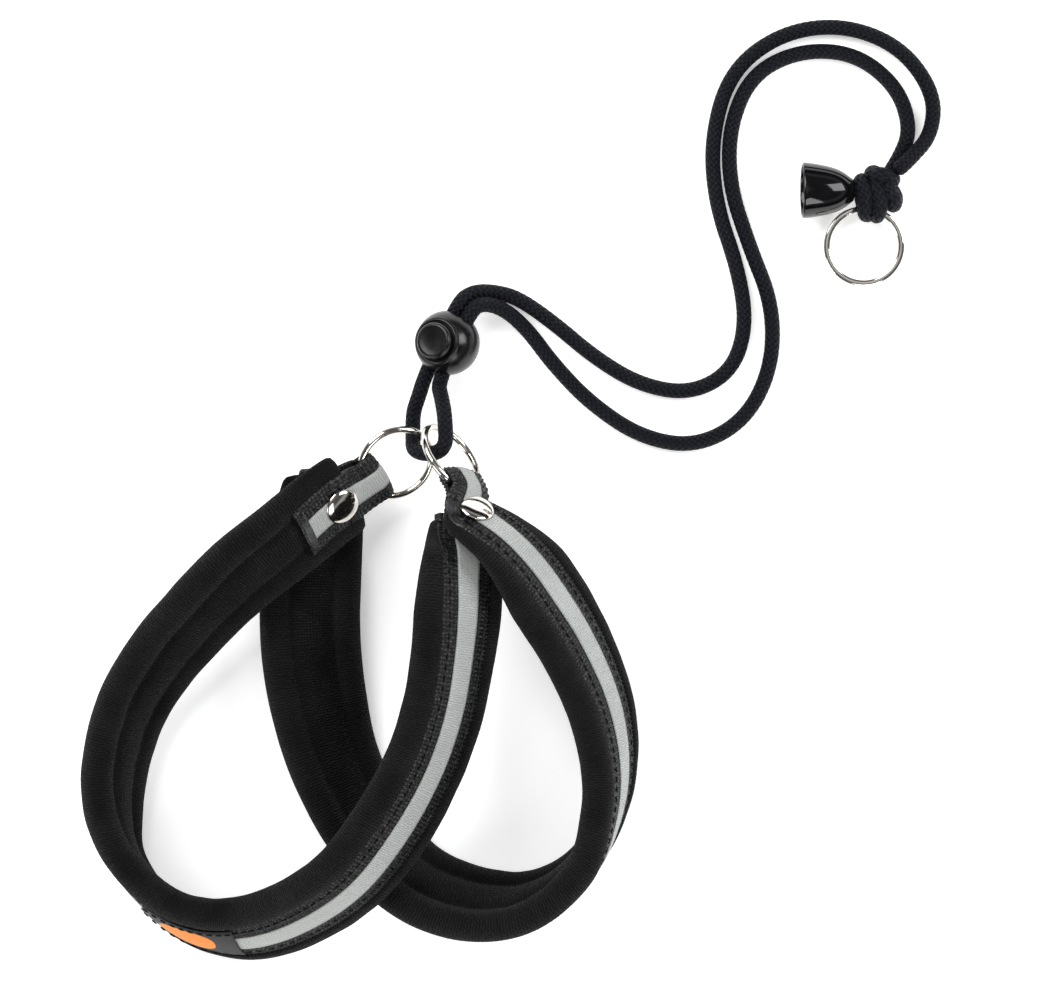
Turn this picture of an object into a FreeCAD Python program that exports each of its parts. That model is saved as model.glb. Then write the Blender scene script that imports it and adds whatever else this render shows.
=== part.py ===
# Step-in pet harness: two padded straps riveted together at both ends, each holding a welded ring,
# with a drawcord through the two rings, a ball cord lock, a split ring and a bell cord end.
# It lies on a flat surface. Millimetres, +Z up, origin under the middle of the padded straps.
import FreeCAD, Part
import Sketcher
import math
import os
from FreeCAD import Placement, Rotation, Vector

doc = FreeCAD.newDocument("step_in_harness")

# ---------------------------------------------------------------- driving dimensions
SIZES = {
    "pad_width": 30.0, "pad_thickness": 9.6, "cover_wall": 0.8, "foam_clearance": 0.1,
    "webbing_width": 18.0, "webbing_thickness": 1.3, "tape_width": 7.5, "tape_thickness": 0.3,
    "layer_gap": 0.15, "pinched_thickness": 4.2, "fold_gap": 3.6, "fold_depth": 5.0, "fold_reach": 4.9,
    "fold_width": 16.0,
    "tail_stations": 3, "label_width": 17.0, "label_thickness": 0.4,
    "tack_width": 2.0, "tack_length": 15.0, "tack_height": 0.6,
    "ring_radius": 10.9, "ring_wire_radius": 1.1,
    "rivet_head_radius": 5.5, "rivet_head_height": 1.8, "rivet_post_radius": 1.9,
    "rivet_clearance": 0.1, "left_pitch": 6.6, "right_pitch": 9.3, "head_lift": 0.4,
    "cord_diameter": 4.5, "strand_spacing": 4.7, "cord_clearance": 0.4,
    "ball_radius": 9.65, "collar_radius": 7.0, "collar_height": 7.8,
    "button_radius": 5.5, "button_height": 10.4, "button_foot": 4.2, "button_clearance": 0.2,
    "bore_depth": 6.8, "spring_seat_depth": 7.8, "spring_seat_radius": 4.1,
    "button_travel": 2.0, "spring_wire_radius": 0.25, "spring_radius": 3.4, "spring_turns": 3,
    "split_radius": 12.0, "split_inner_radius": 10.7, "split_height": 2.5,
    "split_clearance": 0.3, "knot_length": 16.0, "knot_width": 16.5, "knot_height": 13.0,
    "bell_mouth_radius": 8.5, "bell_neck_radius": 4.0, "bell_length": 14.0,
    "bell_wall": 1.4, "bell_bore_radius": 2.5, "tail_radius": 2.3, "end_knot_radius": 4.3,
    "plug_seat_radius": 7.0, "plug_radius": 6.35, "plug_seat_depth": 2.5, "plug_length": 3.7,
}

sheet = doc.addObject("Spreadsheet::Sheet", "sizes")
for row, (alias, value) in enumerate(SIZES.items(), start=1):
    sheet.set(f"A{row}", alias)
    sheet.set(f"B{row}", str(value))
    sheet.setAlias(f"B{row}", alias)
doc.recompute()


def size(alias):
    """A driving dimension, read back from the sheet."""
    return float(sheet.get(alias))


# ---------------------------------------------------------------- layout
# Pad stations (x, y, z of the pad's middle, tilt): the tilt is how far the webbing face looks up.
FRONT_STRAP = [
    (-2.8, 60.2, 19.8, -50), (-7.6, 56.9, 21.0, -50), (-13.0, 52.7, 23.4, -50),
    (-23.4, 44.2, 27.5, -46), (-35.4, 34.8, 27.0, -42), (-47.4, 23.0, 23.5, -39),
    (-58.5, 10.5, 19.5, -36), (-68.1, -5.0, 17.0, -31), (-72.9, -22.7, 16.6, -25),
    (-72.9, -37.5, 16.5, -14), (-68.8, -50.6, 16.3, 2), (-59.1, -61.8, 16.3, 12),
    (-46.9, -68.3, 16.8, 23), (-32.9, -69.3, 18.8, 34), (-17.9, -63.9, 25.3, 39),
    (-2.9, -53.3, 34.2, 42), (9.0, -38.5, 37.8, 45), (18.4, -21.5, 37.0, 43),
    (24.5, -4.1, 36.0, 44), (27.6, 13.4, 35.0, 47), (29.0, 26.2, 33.5, 53),
    (29.7, 34.7, 31.0, 60), (30.1, 40.5, 26.6, 64), (29.9, 44.9, 22.0, 65),
    (29.6, 49.4, 17.0, 65),
]
REAR_STRAP = [
    (-9.5, 64.9, 18.2, -54), (-10.9, 59.8, 16.0, -54), (-13.0, 52.7, 12.2, -58),
    (-14.7, 42.8, 9.4, -73), (-15.4, 31.8, 8.8, -80), (-15.7, 21.4, 8.8, -80),
    (-15.0, 9.5, 9.2, -76), (-12.9, -3.8, 10.0, -67), (-9.0, -18.6, 11.0, -57),
    (-2.1, -34.3, 11.7, -50), (4.7, -44.7, 12.2, -45), (14.2, -54.8, 12.7, -41),
    (25.5, -60.7, 13.0, -38), (37.1, -63.1, 13.7, -31), (48.4, -62.0, 14.6, -20),
    (58.7, -56.9, 15.1, -8), (66.7, -48.6, 15.2, 2), (71.2, -37.6, 15.0, 12),
    (73.3, -25.8, 14.8, 20), (72.7, -12.8, 15.0, 28), (69.4, 0.6, 16.5, 34),
    (62.8, 15.5, 20.0, 39), (55.7, 27.4, 25.0, 43), (48.5, 37.8, 30.0, 42),
    (41.2, 45.8, 31.0, 39), (32.8, 51.9, 27.7, 38), (28.8, 55.1, 26.2, 38),
]
FOLD_STEPS = 6              # facets of the webbing's turn round a ring
PINCH = (0.0, 0.0, 0.15, 0.7)   # how far each pad station from an end has swelled to full thickness
LABEL_STATIONS = (10, 13)   # the label covers the front strap between these stations

# Each ring: its centre and its axis. Each fold: the way from the strap to its ring's centre.
LEFT_RING = (Vector(10.2, 68.2, 15.5), Vector(0.34, -0.44, 0.83))
RIGHT_RING = (Vector(26.6, 69.6, 19.6), Vector(0.70, 0.55, 0.45))
LEFT_FOLD = Vector(0.836, 0.545, -0.053)
RIGHT_FOLD = Vector(-0.39, 0.827, -0.40)

LOCK_CENTRE = Vector(25.3, 103.9, 9.65)
LOCK_AXIS = Vector(-0.41, 0.03, 0.912)      # the way the button leaves the ball
LOCK_CORD = Vector(0.41, 0.895, 0.157)      # the way the cord leaves the ball's far side

# The drawcord from the knot, through the lock, round both rings and back to the knot.
CORD_ROUTE = [
    (158.6, 154.7, 9.5), (163.1, 158.7, 7.5), (170.1, 166.7, 4.0), (170.9, 179.2, 2.3),
    (160.6, 193.2, 2.3), (143.1, 199.7, 2.3), (124.6, 196.9, 2.3), (109.6, 185.2, 2.3),
    (104.0, 165.0, 2.3), (105.5, 145.5, 2.3), (112.1, 126.6, 2.3), (114.8, 109.6, 2.3),
    (110.3, 95.5, 2.3), (97.7, 88.9, 2.3), (82.8, 91.6, 2.3), (69.3, 99.7, 2.3),
    (56.7, 110.4, 2.3), (46.1, 117.8, 2.6), (38.4, 119.5, 5.0), (32.5, 119.1, 8.5),
    (28.3, 115.7, 10.6), (18.5, 94.2, 6.9), (16.6, 87.8, 7.9), (15.0, 83.2, 8.6),
    (15.0, 76.7, 10.6), (15.2, 70.8, 15.6), (25.2, 71.0, 22.0), (24.8, 81.7, 20.6),
    (23.6, 87.7, 14.0), (22.3, 92.1, 8.7), (32.1, 113.6, 12.4), (36.2, 115.8, 9.5),
    (42.4, 114.1, 5.0), (49.3, 108.0, 2.6), (56.7, 97.9, 2.3), (67.8, 86.2, 2.3),
    (82.8, 76.0, 2.3), (99.3, 73.0, 2.3), (114.2, 80.8, 2.3), (122.3, 96.7, 2.3),
    (122.6, 115.5, 2.3), (115.4, 133.5, 2.3), (109.5, 151.5, 2.3), (109.6, 169.4, 2.3),
    (116.3, 184.7, 2.3), (130.7, 191.9, 2.3), (147.2, 191.0, 2.3), (159.7, 181.1, 2.3),
    (163.9, 168.5, 2.6), (160.6, 159.5, 3.6), (156.6, 153.7, 4.4),
]
KNOT_CENTRE = Vector(153.2, 148.8, 7.2)
SPLIT_CENTRE = Vector(149.8, 133.2, 2.9)
SPLIT_AXIS = Vector(0.0, -0.12, 1.0)
BELL_NECK = Vector(145.0, 149.4, 8.7)       # the bell's small end; its mouth faces -X


# ---------------------------------------------------------------- helpers
parts = []


def keep(thing, label):
    """Name a finished sub-part; its label is its file's name."""
    thing.Label = label
    parts.append(thing)
    return thing


def shape_part(label, shape):
    """A sub-part whose shape is computed here from the sheet's sizes."""
    thing = doc.addObject("Part::Feature", label)
    thing.Shape = shape
    return keep(thing, label)


def unit(vector):
    return Vector(vector).normalize()


def turn_to(axis, side):
    """The rotation that takes local Z to axis and local Y near side."""
    up = unit(axis)
    across = unit(Vector(side).cross(up))
    return Rotation(across, up.cross(across), up, "ZXY")


def primitive(kind, name, bindings, place=None):
    """A Part primitive with its sizes bound to the sheet."""
    thing = doc.addObject(kind, name)
    for prop, expression in bindings.items():
        thing.setExpression(prop, expression)
    if place:
        thing.Placement = place
    return thing


def cut(name, base, *tools):
    """Take each tool from the base in turn."""
    for number, tool in enumerate(tools):
        result = doc.addObject("Part::Cut", f"{name}_{number}")
        result.Base, result.Tool = base, tool
        base = result
    return base


def fuse(name, *shapes):
    result = doc.addObject("Part::MultiFuse", name)
    result.Shapes = list(shapes)
    return result


def turned(name, profile, place):
    """A PartDesign body revolved about its Z axis. Each corner of the closed profile is a radius
    and a height, each of them 0 or an (alias, factor) pair of the sheet."""
    body = doc.addObject("PartDesign::Body", name)
    sketch = body.newObject("Sketcher::SketchObject", name + "_profile")
    plane = next(f for f in body.Origin.OriginFeatures if f.Role == "XZ_Plane")
    sketch.AttachmentSupport = [(plane, "")]
    sketch.MapMode = "FlatFace"
    corners = [Vector(*(value[1] * size(value[0]) if value else 0.0 for value in corner), 0.0)
               for corner in profile]
    count = len(corners)
    for number in range(count):
        side = Part.LineSegment(corners[number], corners[(number + 1) % count])
        sketch.addGeometry(side, False)
    for number in range(count):
        joined = Sketcher.Constraint("Coincident", number, 2, (number + 1) % count, 1)
        sketch.addConstraint(joined)
    for number, corner in enumerate(profile):
        for value, kind, axis in ((corner[0], "DistanceX", -2), (corner[1], "DistanceY", -1)):
            if not value:
                sketch.addConstraint(Sketcher.Constraint("PointOnObject", number, 1, axis))
                continue
            alias, factor = value
            measure = Sketcher.Constraint(kind, -1, 1, number, 1, factor * size(alias))
            index = sketch.addConstraint(measure)
            sketch.setExpression(f"Constraints[{index}]", f"sizes.{alias} * {factor}")
    doc.recompute()
    revolution = body.newObject("PartDesign::Revolution", name + "_turn")
    revolution.Profile = sketch
    revolution.ReferenceAxis = (sketch, ["V_Axis"])
    revolution.Angle = 360.0
    body.Placement = place
    doc.recompute()
    return body


def full(alias, factor=1.0):
    return (alias, factor)


# ---------------------------------------------------------------- straps
class Station:
    """A place along a strap: its point, its width direction and the way its webbing faces."""

    def __init__(self, point, across, outward, thickness=0.0, narrow=0.0):
        self.point = point
        self.across = across
        self.outward = outward
        self.thickness = thickness
        self.narrow = narrow

    def at(self, side, rise):
        return self.point + self.across * side + self.outward * rise


def pad_stations(rows):
    """Stations of a pad, pinched flat at both ends."""
    curve = Part.BSplineCurve()
    curve.interpolate(Points=[Vector(*row[:3]) for row in rows])
    knots = curve.getKnots()
    last = len(rows) - 1
    stations = []
    for number, row in enumerate(rows):
        along = unit(curve.tangent(knots[number])[0])
        level = unit(Vector(along.y, -along.x, 0.0))
        lift = level.cross(along)
        tilt = math.radians(row[3])
        outward = level * math.cos(tilt) + lift * math.sin(tilt)
        inset = min(number, last - number)
        eased = PINCH[inset] if inset < len(PINCH) else 1.0
        pinched, whole = size("pinched_thickness"), size("pad_thickness")
        thickness = pinched + (whole - pinched) * eased
        stations.append(Station(Vector(*row[:3]), outward.cross(along), outward, thickness))
    return stations


def rounded_section(station, width, thickness):
    """A flat section with half-round edges."""
    radius = thickness / 2
    reach = width / 2 - radius
    top_right, top_left = station.at(reach, radius), station.at(-reach, radius)
    low_left, low_right = station.at(-reach, -radius), station.at(reach, -radius)
    edges = [
        Part.LineSegment(top_right, top_left).toShape(),
        Part.Arc(top_left, station.at(-reach - radius, 0.0), low_left).toShape(),
        Part.LineSegment(low_left, low_right).toShape(),
        Part.Arc(low_right, station.at(reach + radius, 0.0), top_right).toShape(),
    ]
    return Part.Wire(edges)


def flat_section(station, width, low, high):
    """A rectangle across the strap between two heights over the station's point."""
    corners = [station.at(width / 2, low), station.at(width / 2, high),
               station.at(-width / 2, high), station.at(-width / 2, low)]
    return Part.makePolygon(corners + corners[:1])


def loft(sections):
    return Part.makeLoft(sections, True, True)


def webbing_stations(pads, ring, fold):
    """The webbing's own middle line: along the pad's outer face, round the ring and back on the
    inner face. The pads are given from the free end to the ring end."""
    rise = size("layer_gap") + size("webbing_thickness") / 2
    path = [Station(pad.at(0, pad.thickness / 2 + rise), pad.across, pad.outward) for pad in pads]
    narrow = size("webbing_width") - size("fold_width")
    centre, axis = ring
    forward, axis = unit(fold), unit(axis)
    outward = axis if axis.dot(pads[-1].outward) > 0 else -axis
    across = unit(pads[-1].across - forward * pads[-1].across.dot(forward))
    across = unit(across - outward * across.dot(outward))
    radius = (size("fold_gap") + size("webbing_thickness")) / 2
    middle = centre - forward * (size("fold_reach") + radius)
    depth = size("fold_depth")
    for back in (depth, 0.0):
        path.append(Station(middle - forward * back + outward * radius, across, outward,
                            narrow=narrow))
    for step in range(1, FOLD_STEPS):
        angle = math.pi * step / FOLD_STEPS
        normal = outward * math.cos(angle) + forward * math.sin(angle)
        path.append(Station(middle + normal * radius, across, normal, narrow=narrow))
    for back in (0.0, depth):
        path.append(Station(middle - forward * back - outward * radius, across, -outward,
                            narrow=narrow))
    tail = pads[::-1][:int(size("tail_stations"))]
    path += [Station(pad.at(0, -pad.thickness / 2 - rise), pad.across, -pad.outward)
             for pad in tail]
    return path


def build_strap(name, pads, ring, fold, rivet_holes):
    """The foam, the knitted cover, the webbing and the reflective tape of one strap."""
    width, wall = size("pad_width"), size("cover_wall")
    inner = wall + size("foam_clearance")

    def pad_shape(inset, ends):
        shown = pads[1:-1] if ends else pads
        return loft([rounded_section(pad, width - 2 * inset, pad.thickness - 2 * inset)
                     for pad in shown])

    cover = pad_shape(0, False).cut(pad_shape(wall, True))
    foam = pad_shape(inner, True)
    path = webbing_stations(pads, ring, fold)
    web, gap = size("webbing_thickness") / 2, size("layer_gap")
    webbing = loft([flat_section(spot, size("webbing_width") - spot.narrow, -web, web)
                    for spot in path])
    tape_low = web + gap
    tape = loft([flat_section(spot, size("tape_width"), tape_low,
                              tape_low + size("tape_thickness")) for spot in path])
    named = (("pad_cover", cover), ("pad_foam", foam), ("webbing", webbing),
             ("reflective_tape", tape))
    for label, shape in named:
        for hole in rivet_holes:
            shape = shape.cut(hole)
        shape_part(f"{name}_{label}", shape)
    return path


def rivet_at(name, base, outward, pitch, lower_skin):
    """A double-cap rivet through two strap ends. base is the middle of the upper pad and outward
    points down the stack; gives the hole for the post."""
    webbing = size("webbing_thickness") + size("tape_thickness") + 2 * size("layer_gap")
    bare = size("pinched_thickness") / 2 + size("layer_gap") + size("head_lift")
    upper, lower = bare + webbing, bare + webbing * lower_skin
    length = upper + pitch + lower
    height = size("rivet_head_height")
    top_place = Placement(base - outward * upper, turn_to(-outward, Y))
    top = turned(name + "_head", RIVET_HEAD, top_place)
    post = primitive("Part::Cylinder", name + "_post", {"Radius": "sizes.rivet_post_radius"},
                     Placement(base - outward * upper, turn_to(outward, Y)))
    post.Height = length
    keep(fuse(name, top, post), name)
    cap_place = Placement(base + outward * (pitch + lower), turn_to(outward, Y))
    keep(turned(name + "_cap", RIVET_HEAD, cap_place), name + "_cap")
    radius = size("rivet_post_radius") + size("rivet_clearance")
    start = base - outward * (upper + height)
    return Part.makeCylinder(radius, length + 2 * height, start, outward)


X, Y, Z = Vector(1, 0, 0), Vector(0, 1, 0), Vector(0, 0, 1)
RIVET_HEAD = [(0, 0), (full("rivet_head_radius"), 0),
              (full("rivet_head_radius"), full("rivet_head_height", 0.35)),
              (full("rivet_head_radius", 0.7), full("rivet_head_height", 0.85)),
              (0, full("rivet_head_height"))]

front, rear = pad_stations(FRONT_STRAP), pad_stations(REAR_STRAP)
# The left rivet's lower cap bears on webbing, the right one's on the bare inner face of the pad.
left_hole = rivet_at("left_rivet", front[1].point, front[1].outward, size("left_pitch"), 1)
right_hole = rivet_at("right_rivet", rear[-2].point, -rear[-2].outward, size("right_pitch"), 0)
front_path = build_strap("front", front[::-1], LEFT_RING, LEFT_FOLD, (left_hole, right_hole))
rear_path = build_strap("rear", rear, RIGHT_RING, RIGHT_FOLD, (left_hole, right_hole))

# The woven label lies over the front strap's webbing and tape.
label_low = size("webbing_thickness") / 2 + 2 * size("layer_gap") + size("tape_thickness")
first, last = (len(front) - 1 - number for number in LABEL_STATIONS[::-1])
label_sections = [flat_section(spot, size("label_width"), label_low,
                               label_low + size("label_thickness"))
                  for spot in front_path[first:last + 1]]
shape_part("woven_label", loft(label_sections))

# A bar tack holds down each folded-back webbing end.
for name, path in (("front", front_path), ("rear", rear_path)):
    spot = path[-1]
    rise = size("webbing_thickness") / 2 + 2 * size("layer_gap") + size("tape_thickness")
    along = spot.across.cross(spot.outward)
    inward = unit(path[-2].point - spot.point)
    along = along if along.dot(inward) > 0 else -along
    corner = spot.at(-size("tack_length") / 2, rise) + along * size("layer_gap")
    turned_box = Rotation(spot.across, along, spot.across.cross(along), "ZXY")
    if spot.across.cross(along).dot(spot.outward) < 0:
        corner = corner + spot.outward * size("tack_height")
    keep(primitive("Part::Box", f"{name}_bar_tack",
                   {"Length": "sizes.tack_length", "Width": "sizes.tack_width",
                    "Height": "sizes.tack_height"}, Placement(corner, turned_box)),
         f"{name}_bar_tack")


# ---------------------------------------------------------------- rings
for name, (centre, axis) in (("left_ring", LEFT_RING), ("right_ring", RIGHT_RING)):
    torus = primitive("Part::Torus", name, {"Radius1": "sizes.ring_radius",
                                            "Radius2": "sizes.ring_wire_radius"},
                      Placement(centre, turn_to(axis, Y)))
    keep(torus, name)


# ---------------------------------------------------------------- cord lock
# Built about the ball's middle: Z is the button's way out, Y the cord's way through.
lock_place = Placement(LOCK_CENTRE, turn_to(LOCK_AXIS, LOCK_CORD))
SLOT = {"Length": "sizes.strand_spacing", "Width": "4 * sizes.ball_radius",
        "Height": "sizes.cord_diameter + 2 * sizes.cord_clearance"}


def cord_slot(name, extra_height):
    """The opening that both strands pass through: two round channels and the gap between."""
    span, reach = size("strand_spacing") / 2, 2 * size("ball_radius")
    radius = "sizes.cord_diameter / 2 + sizes.cord_clearance"
    bottom = -(size("cord_diameter") / 2 + size("cord_clearance"))
    pieces = []
    for number, side in enumerate((-span, span)):
        for level, lift in enumerate((0.0, extra_height) if extra_height else (0.0,)):
            channel = primitive("Part::Cylinder", f"{name}_channel_{number}_{level}",
                                {"Radius": radius, "Height": "4 * sizes.ball_radius"},
                                Placement(Vector(side, -reach, lift), Rotation(Z, Y)))
            pieces.append(channel)
        if extra_height:
            wall = primitive("Part::Box", f"{name}_side_{number}", {
                "Length": "sizes.cord_diameter + 2 * sizes.cord_clearance",
                "Width": SLOT["Width"]}, Placement(Vector(side + bottom, -reach, 0), Rotation()))
            wall.Height = extra_height
            pieces.append(wall)
    gap = primitive("Part::Box", name + "_gap", {"Length": SLOT["Length"], "Width": SLOT["Width"]},
                    Placement(Vector(-span, -reach, bottom), Rotation()))
    gap.setExpression("Height", f"{SLOT['Height']} + {extra_height}")
    return fuse(name, gap, *pieces)


ball = primitive("Part::Sphere", "lock_ball", {"Radius": "sizes.ball_radius"})
collar = primitive("Part::Cylinder", "lock_collar", {"Radius": "sizes.collar_radius",
                                                     "Height": "sizes.collar_height"})
bore = primitive("Part::Cylinder", "lock_bore", {
    "Radius": "sizes.button_radius + sizes.button_clearance",
    "Height": "sizes.bore_depth + 2 * sizes.ball_radius"})
bore.setExpression("Placement.Base.z", "-sizes.bore_depth")
seat = primitive("Part::Cylinder", "lock_spring_seat", {
    "Radius": "sizes.spring_seat_radius", "Height": "sizes.ball_radius"})
seat.setExpression("Placement.Base.z", "-sizes.spring_seat_depth")
body = cut("lock_body_shape", fuse("lock_body_blank", ball, collar), bore, seat,
           cord_slot("lock_slot", 0))
body.Placement = lock_place
keep(body, "cord_lock_body")

stem = primitive("Part::Cylinder", "button_stem", {
    "Radius": "sizes.button_radius", "Height": "sizes.button_height + sizes.button_foot"})
stem.setExpression("Placement.Base.z", "-sizes.button_foot")
button = cut("button_shape", stem, cord_slot("button_window", size("button_travel")))
button.Placement = lock_place
keep(button, "cord_lock_button")

free_length = size("spring_seat_depth") - size("button_foot")
wire = size("spring_wire_radius")
rise = free_length - 2 * wire - 2 * size("layer_gap")
helix = Part.makeHelix(rise / size("spring_turns"), rise, size("spring_radius"))
coil_start = Vector(size("spring_radius"), 0, 0)
wire_section = Part.Wire([Part.makeCircle(wire, coil_start, Y)])
spring_shape = Part.Wire(helix).makePipeShell([wire_section], True, True)
spring = shape_part("cord_lock_spring", spring_shape)
lift = Vector(0, 0, wire + size("layer_gap") - size("spring_seat_depth"))
spring.Placement = lock_place.multiply(Placement(lift, Rotation()))


# ---------------------------------------------------------------- drawcord
def rounded_path(points):
    """Straight runs joined by tangent arcs, each as large as its two runs allow."""
    edges, start = [], points[0]
    radii = []
    for before, corner, after in zip(points, points[1:], points[2:]):
        inward, onward = unit(before - corner), unit(after - corner)
        half_turn = (math.pi - inward.getAngle(onward)) / 2
        shorter = min(before.distanceToPoint(corner), after.distanceToPoint(corner))
        tangent = 0.45 * shorter
        radius = tangent / math.tan(half_turn)
        first, last = corner + inward * tangent, corner + onward * tangent
        middle = unit(inward + onward)
        apex = corner + middle * (radius / math.cos(half_turn) - radius)
        edges.append(Part.LineSegment(start, first).toShape())
        edges.append(Part.Arc(first, apex, last).toShape())
        start = last
        radii.append(radius)
    edges.append(Part.LineSegment(start, points[-1]).toShape())
    return Part.Wire(edges), radii


route = [Vector(*point) for point in CORD_ROUTE]
cord_line, cord_radii = rounded_path(route)
start_way = route[1] - route[0]
cord_section = Part.Wire([Part.makeCircle(size("cord_diameter") / 2, route[0], start_way)])
cord_tube = cord_line.makePipeShell([cord_section], True, True)
shape_part("drawcord", cord_tube)


# ---------------------------------------------------------------- split ring and knot
split_place = Placement(SPLIT_CENTRE - unit(SPLIT_AXIS) * (size("split_height") / 2),
                        turn_to(SPLIT_AXIS, Y))
keep(turned("split_ring", [(full("split_inner_radius"), 0), (full("split_radius"), 0),
                           (full("split_radius"), full("split_height")),
                           (full("split_inner_radius"), full("split_height"))], split_place),
     "split_ring")

slack = size("split_clearance")
channel_place = Placement(SPLIT_CENTRE - unit(SPLIT_AXIS) * (size("split_height") / 2 + slack),
                          turn_to(SPLIT_AXIS, Y))
channel_height = "sizes.split_height + 2 * sizes.split_clearance"
channel = cut("knot_channel", *(
    primitive("Part::Cylinder", name, {"Radius": radius, "Height": channel_height}, channel_place)
    for name, radius in (("channel_outside", "sizes.split_radius + sizes.split_clearance"),
                         ("channel_inside", "sizes.split_inner_radius - sizes.split_clearance"))))
lump = primitive("Part::Ellipsoid", "knot_lump", {
    "Radius1": "sizes.knot_height / 2", "Radius2": "sizes.knot_length / 2",
    "Radius3": "sizes.knot_width / 2"}, Placement(KNOT_CENTRE, Rotation()))
keep(cut("knot_shape", lump, channel), "cord_knot")


# ---------------------------------------------------------------- bell cord end
bell_place = Placement(BELL_NECK, turn_to(-X, Y))
BELL = [(full("bell_bore_radius"), 0), (full("bell_neck_radius"), 0),
        (full("bell_mouth_radius", 0.74), full("bell_length", 0.22)),
        (full("bell_mouth_radius", 0.92), full("bell_length", 0.5)),
        (full("bell_mouth_radius"), full("bell_length")),
        (full("plug_seat_radius", 1.01), full("bell_length")),
        (full("plug_seat_radius", 1.01), full("bell_length", 0.6)),
        (full("plug_seat_radius", 0.7), full("bell_length", 0.24)),
        (full("bell_bore_radius"), full("bell_length", 0.12))]
keep(turned("bell_end", BELL, bell_place), "bell_end")

# The cord's tail comes through the bell's small end and is knotted inside it.
END_KNOT = [(0, full("bell_length", -0.25)), (full("tail_radius"), full("bell_length", -0.25)),
            (full("tail_radius"), full("bell_length", 0.26)),
            (full("end_knot_radius", 0.8), full("bell_length", 0.36)),
            (full("end_knot_radius"), full("bell_length", 0.52)),
            (full("end_knot_radius", 0.7), full("bell_length", 0.72)),
            (0, full("bell_length", 0.76))]
keep(turned("cord_end_knot", END_KNOT, bell_place), "cord_end_knot")

plug_place = Placement(BELL_NECK - X * (size("bell_length") - size("plug_seat_depth")),
                       turn_to(-X, Y))
keep(turned("bell_plug", [(0, 0), (full("plug_seat_radius"), 0),
                          (full("plug_seat_radius"), full("plug_seat_depth", 0.9)),
                          (full("plug_radius"), full("plug_seat_depth", 0.9)),
                          (full("plug_radius"), full("plug_length")),
                          (0, full("plug_length"))], plug_place), "bell_plug")


# ---------------------------------------------------------------- check and write
doc.recompute()
for thing in doc.Objects:
    if {"Invalid", "Error"} & set(thing.State):
        raise RuntimeError(f"{thing.Label} failed: {thing.State}")
for thing in parts:
    if thing.Shape.isNull() or not thing.Shape.isValid() or not thing.Shape.Solids:
        raise RuntimeError(f"{thing.Label} has no valid solid")

cord_area = math.pi * (size("cord_diameter") / 2) ** 2
print(f"cord length {cord_line.Length:.1f} mm, tube over section times length "
      f"{cord_tube.Volume / (cord_area * cord_line.Length):.4f}")
print("cord radii " + " ".join(f"{radius:.1f}" for radius in cord_radii))

os.makedirs("parts", exist_ok=True)
for thing in parts:
    thing.Shape.exportStep(os.path.join("parts", thing.Label + ".step"))
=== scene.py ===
# A small pet's step-in harness, lying on a table: two padded straps riveted together at both ends,
# a welded ring in each, and a drawcord with a ball lock, a knot, a split ring and a bell end.
import bisect
import math
import bmesh
import bpy
from mathutils import Matrix, Vector, noise


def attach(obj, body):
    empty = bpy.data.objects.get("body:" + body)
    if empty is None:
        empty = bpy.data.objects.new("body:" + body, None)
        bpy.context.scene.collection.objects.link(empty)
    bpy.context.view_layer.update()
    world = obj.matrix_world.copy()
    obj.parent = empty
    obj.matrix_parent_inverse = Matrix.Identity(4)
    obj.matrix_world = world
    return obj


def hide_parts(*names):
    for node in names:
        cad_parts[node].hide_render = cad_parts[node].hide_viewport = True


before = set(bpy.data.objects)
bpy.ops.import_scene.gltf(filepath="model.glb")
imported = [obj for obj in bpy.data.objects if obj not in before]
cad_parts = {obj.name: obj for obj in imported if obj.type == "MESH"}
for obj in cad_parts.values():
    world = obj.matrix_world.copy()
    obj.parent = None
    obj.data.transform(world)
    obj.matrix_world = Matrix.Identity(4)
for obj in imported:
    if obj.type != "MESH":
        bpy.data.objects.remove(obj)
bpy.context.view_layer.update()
scene = bpy.context.scene
MM = 0.001

# ---------------------------------------------------------------- the table and the light
# The harness lies on a plain pale table under a large soft lamp, seen from straight above.
EYE = Vector((0.04925, 0.05715, 1.190))
LENS = 135.2

camera_data = bpy.data.cameras.new("camera")
camera_data.lens = LENS
camera_data.sensor_width = 36.0
camera_data.clip_end = 20.0
camera = bpy.data.objects.new("camera", camera_data)
camera.location = EYE
scene.collection.objects.link(camera)
scene.camera = camera
scene.view_settings.view_transform = "Standard"

world = bpy.data.worlds.new("room")
scene.world = world
world.use_nodes = True


def light_room(tree):
    """A dim studio: a soft pale ceiling, and dark walls low down for the metal to reflect."""
    back = tree.nodes["Background"]
    place = tree.nodes.new("ShaderNodeTexCoord").outputs["Generated"]
    parts = tree.nodes.new("ShaderNodeSeparateXYZ")
    tree.links.new(place, parts.inputs[0])
    ramp = tree.nodes.new("ShaderNodeValToRGB")
    tree.links.new(parts.outputs["Z"], ramp.inputs["Fac"])
    low, high = ramp.color_ramp.elements
    low.position, low.color = 0.22, (0.015, 0.015, 0.015, 1.0)
    high.position, high.color = 0.99, (0.85, 0.85, 0.87, 1.0)
    for height, grey_level in ((0.42, 0.6), (0.56, 0.10), (0.93, 0.15)):
        stop = ramp.color_ramp.elements.new(height)
        stop.color = (grey_level, grey_level, grey_level, 1.0)
    tree.links.new(ramp.outputs["Color"], back.inputs["Color"])
    back.inputs["Strength"].default_value = 0.8


light_room(world.node_tree)


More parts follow.
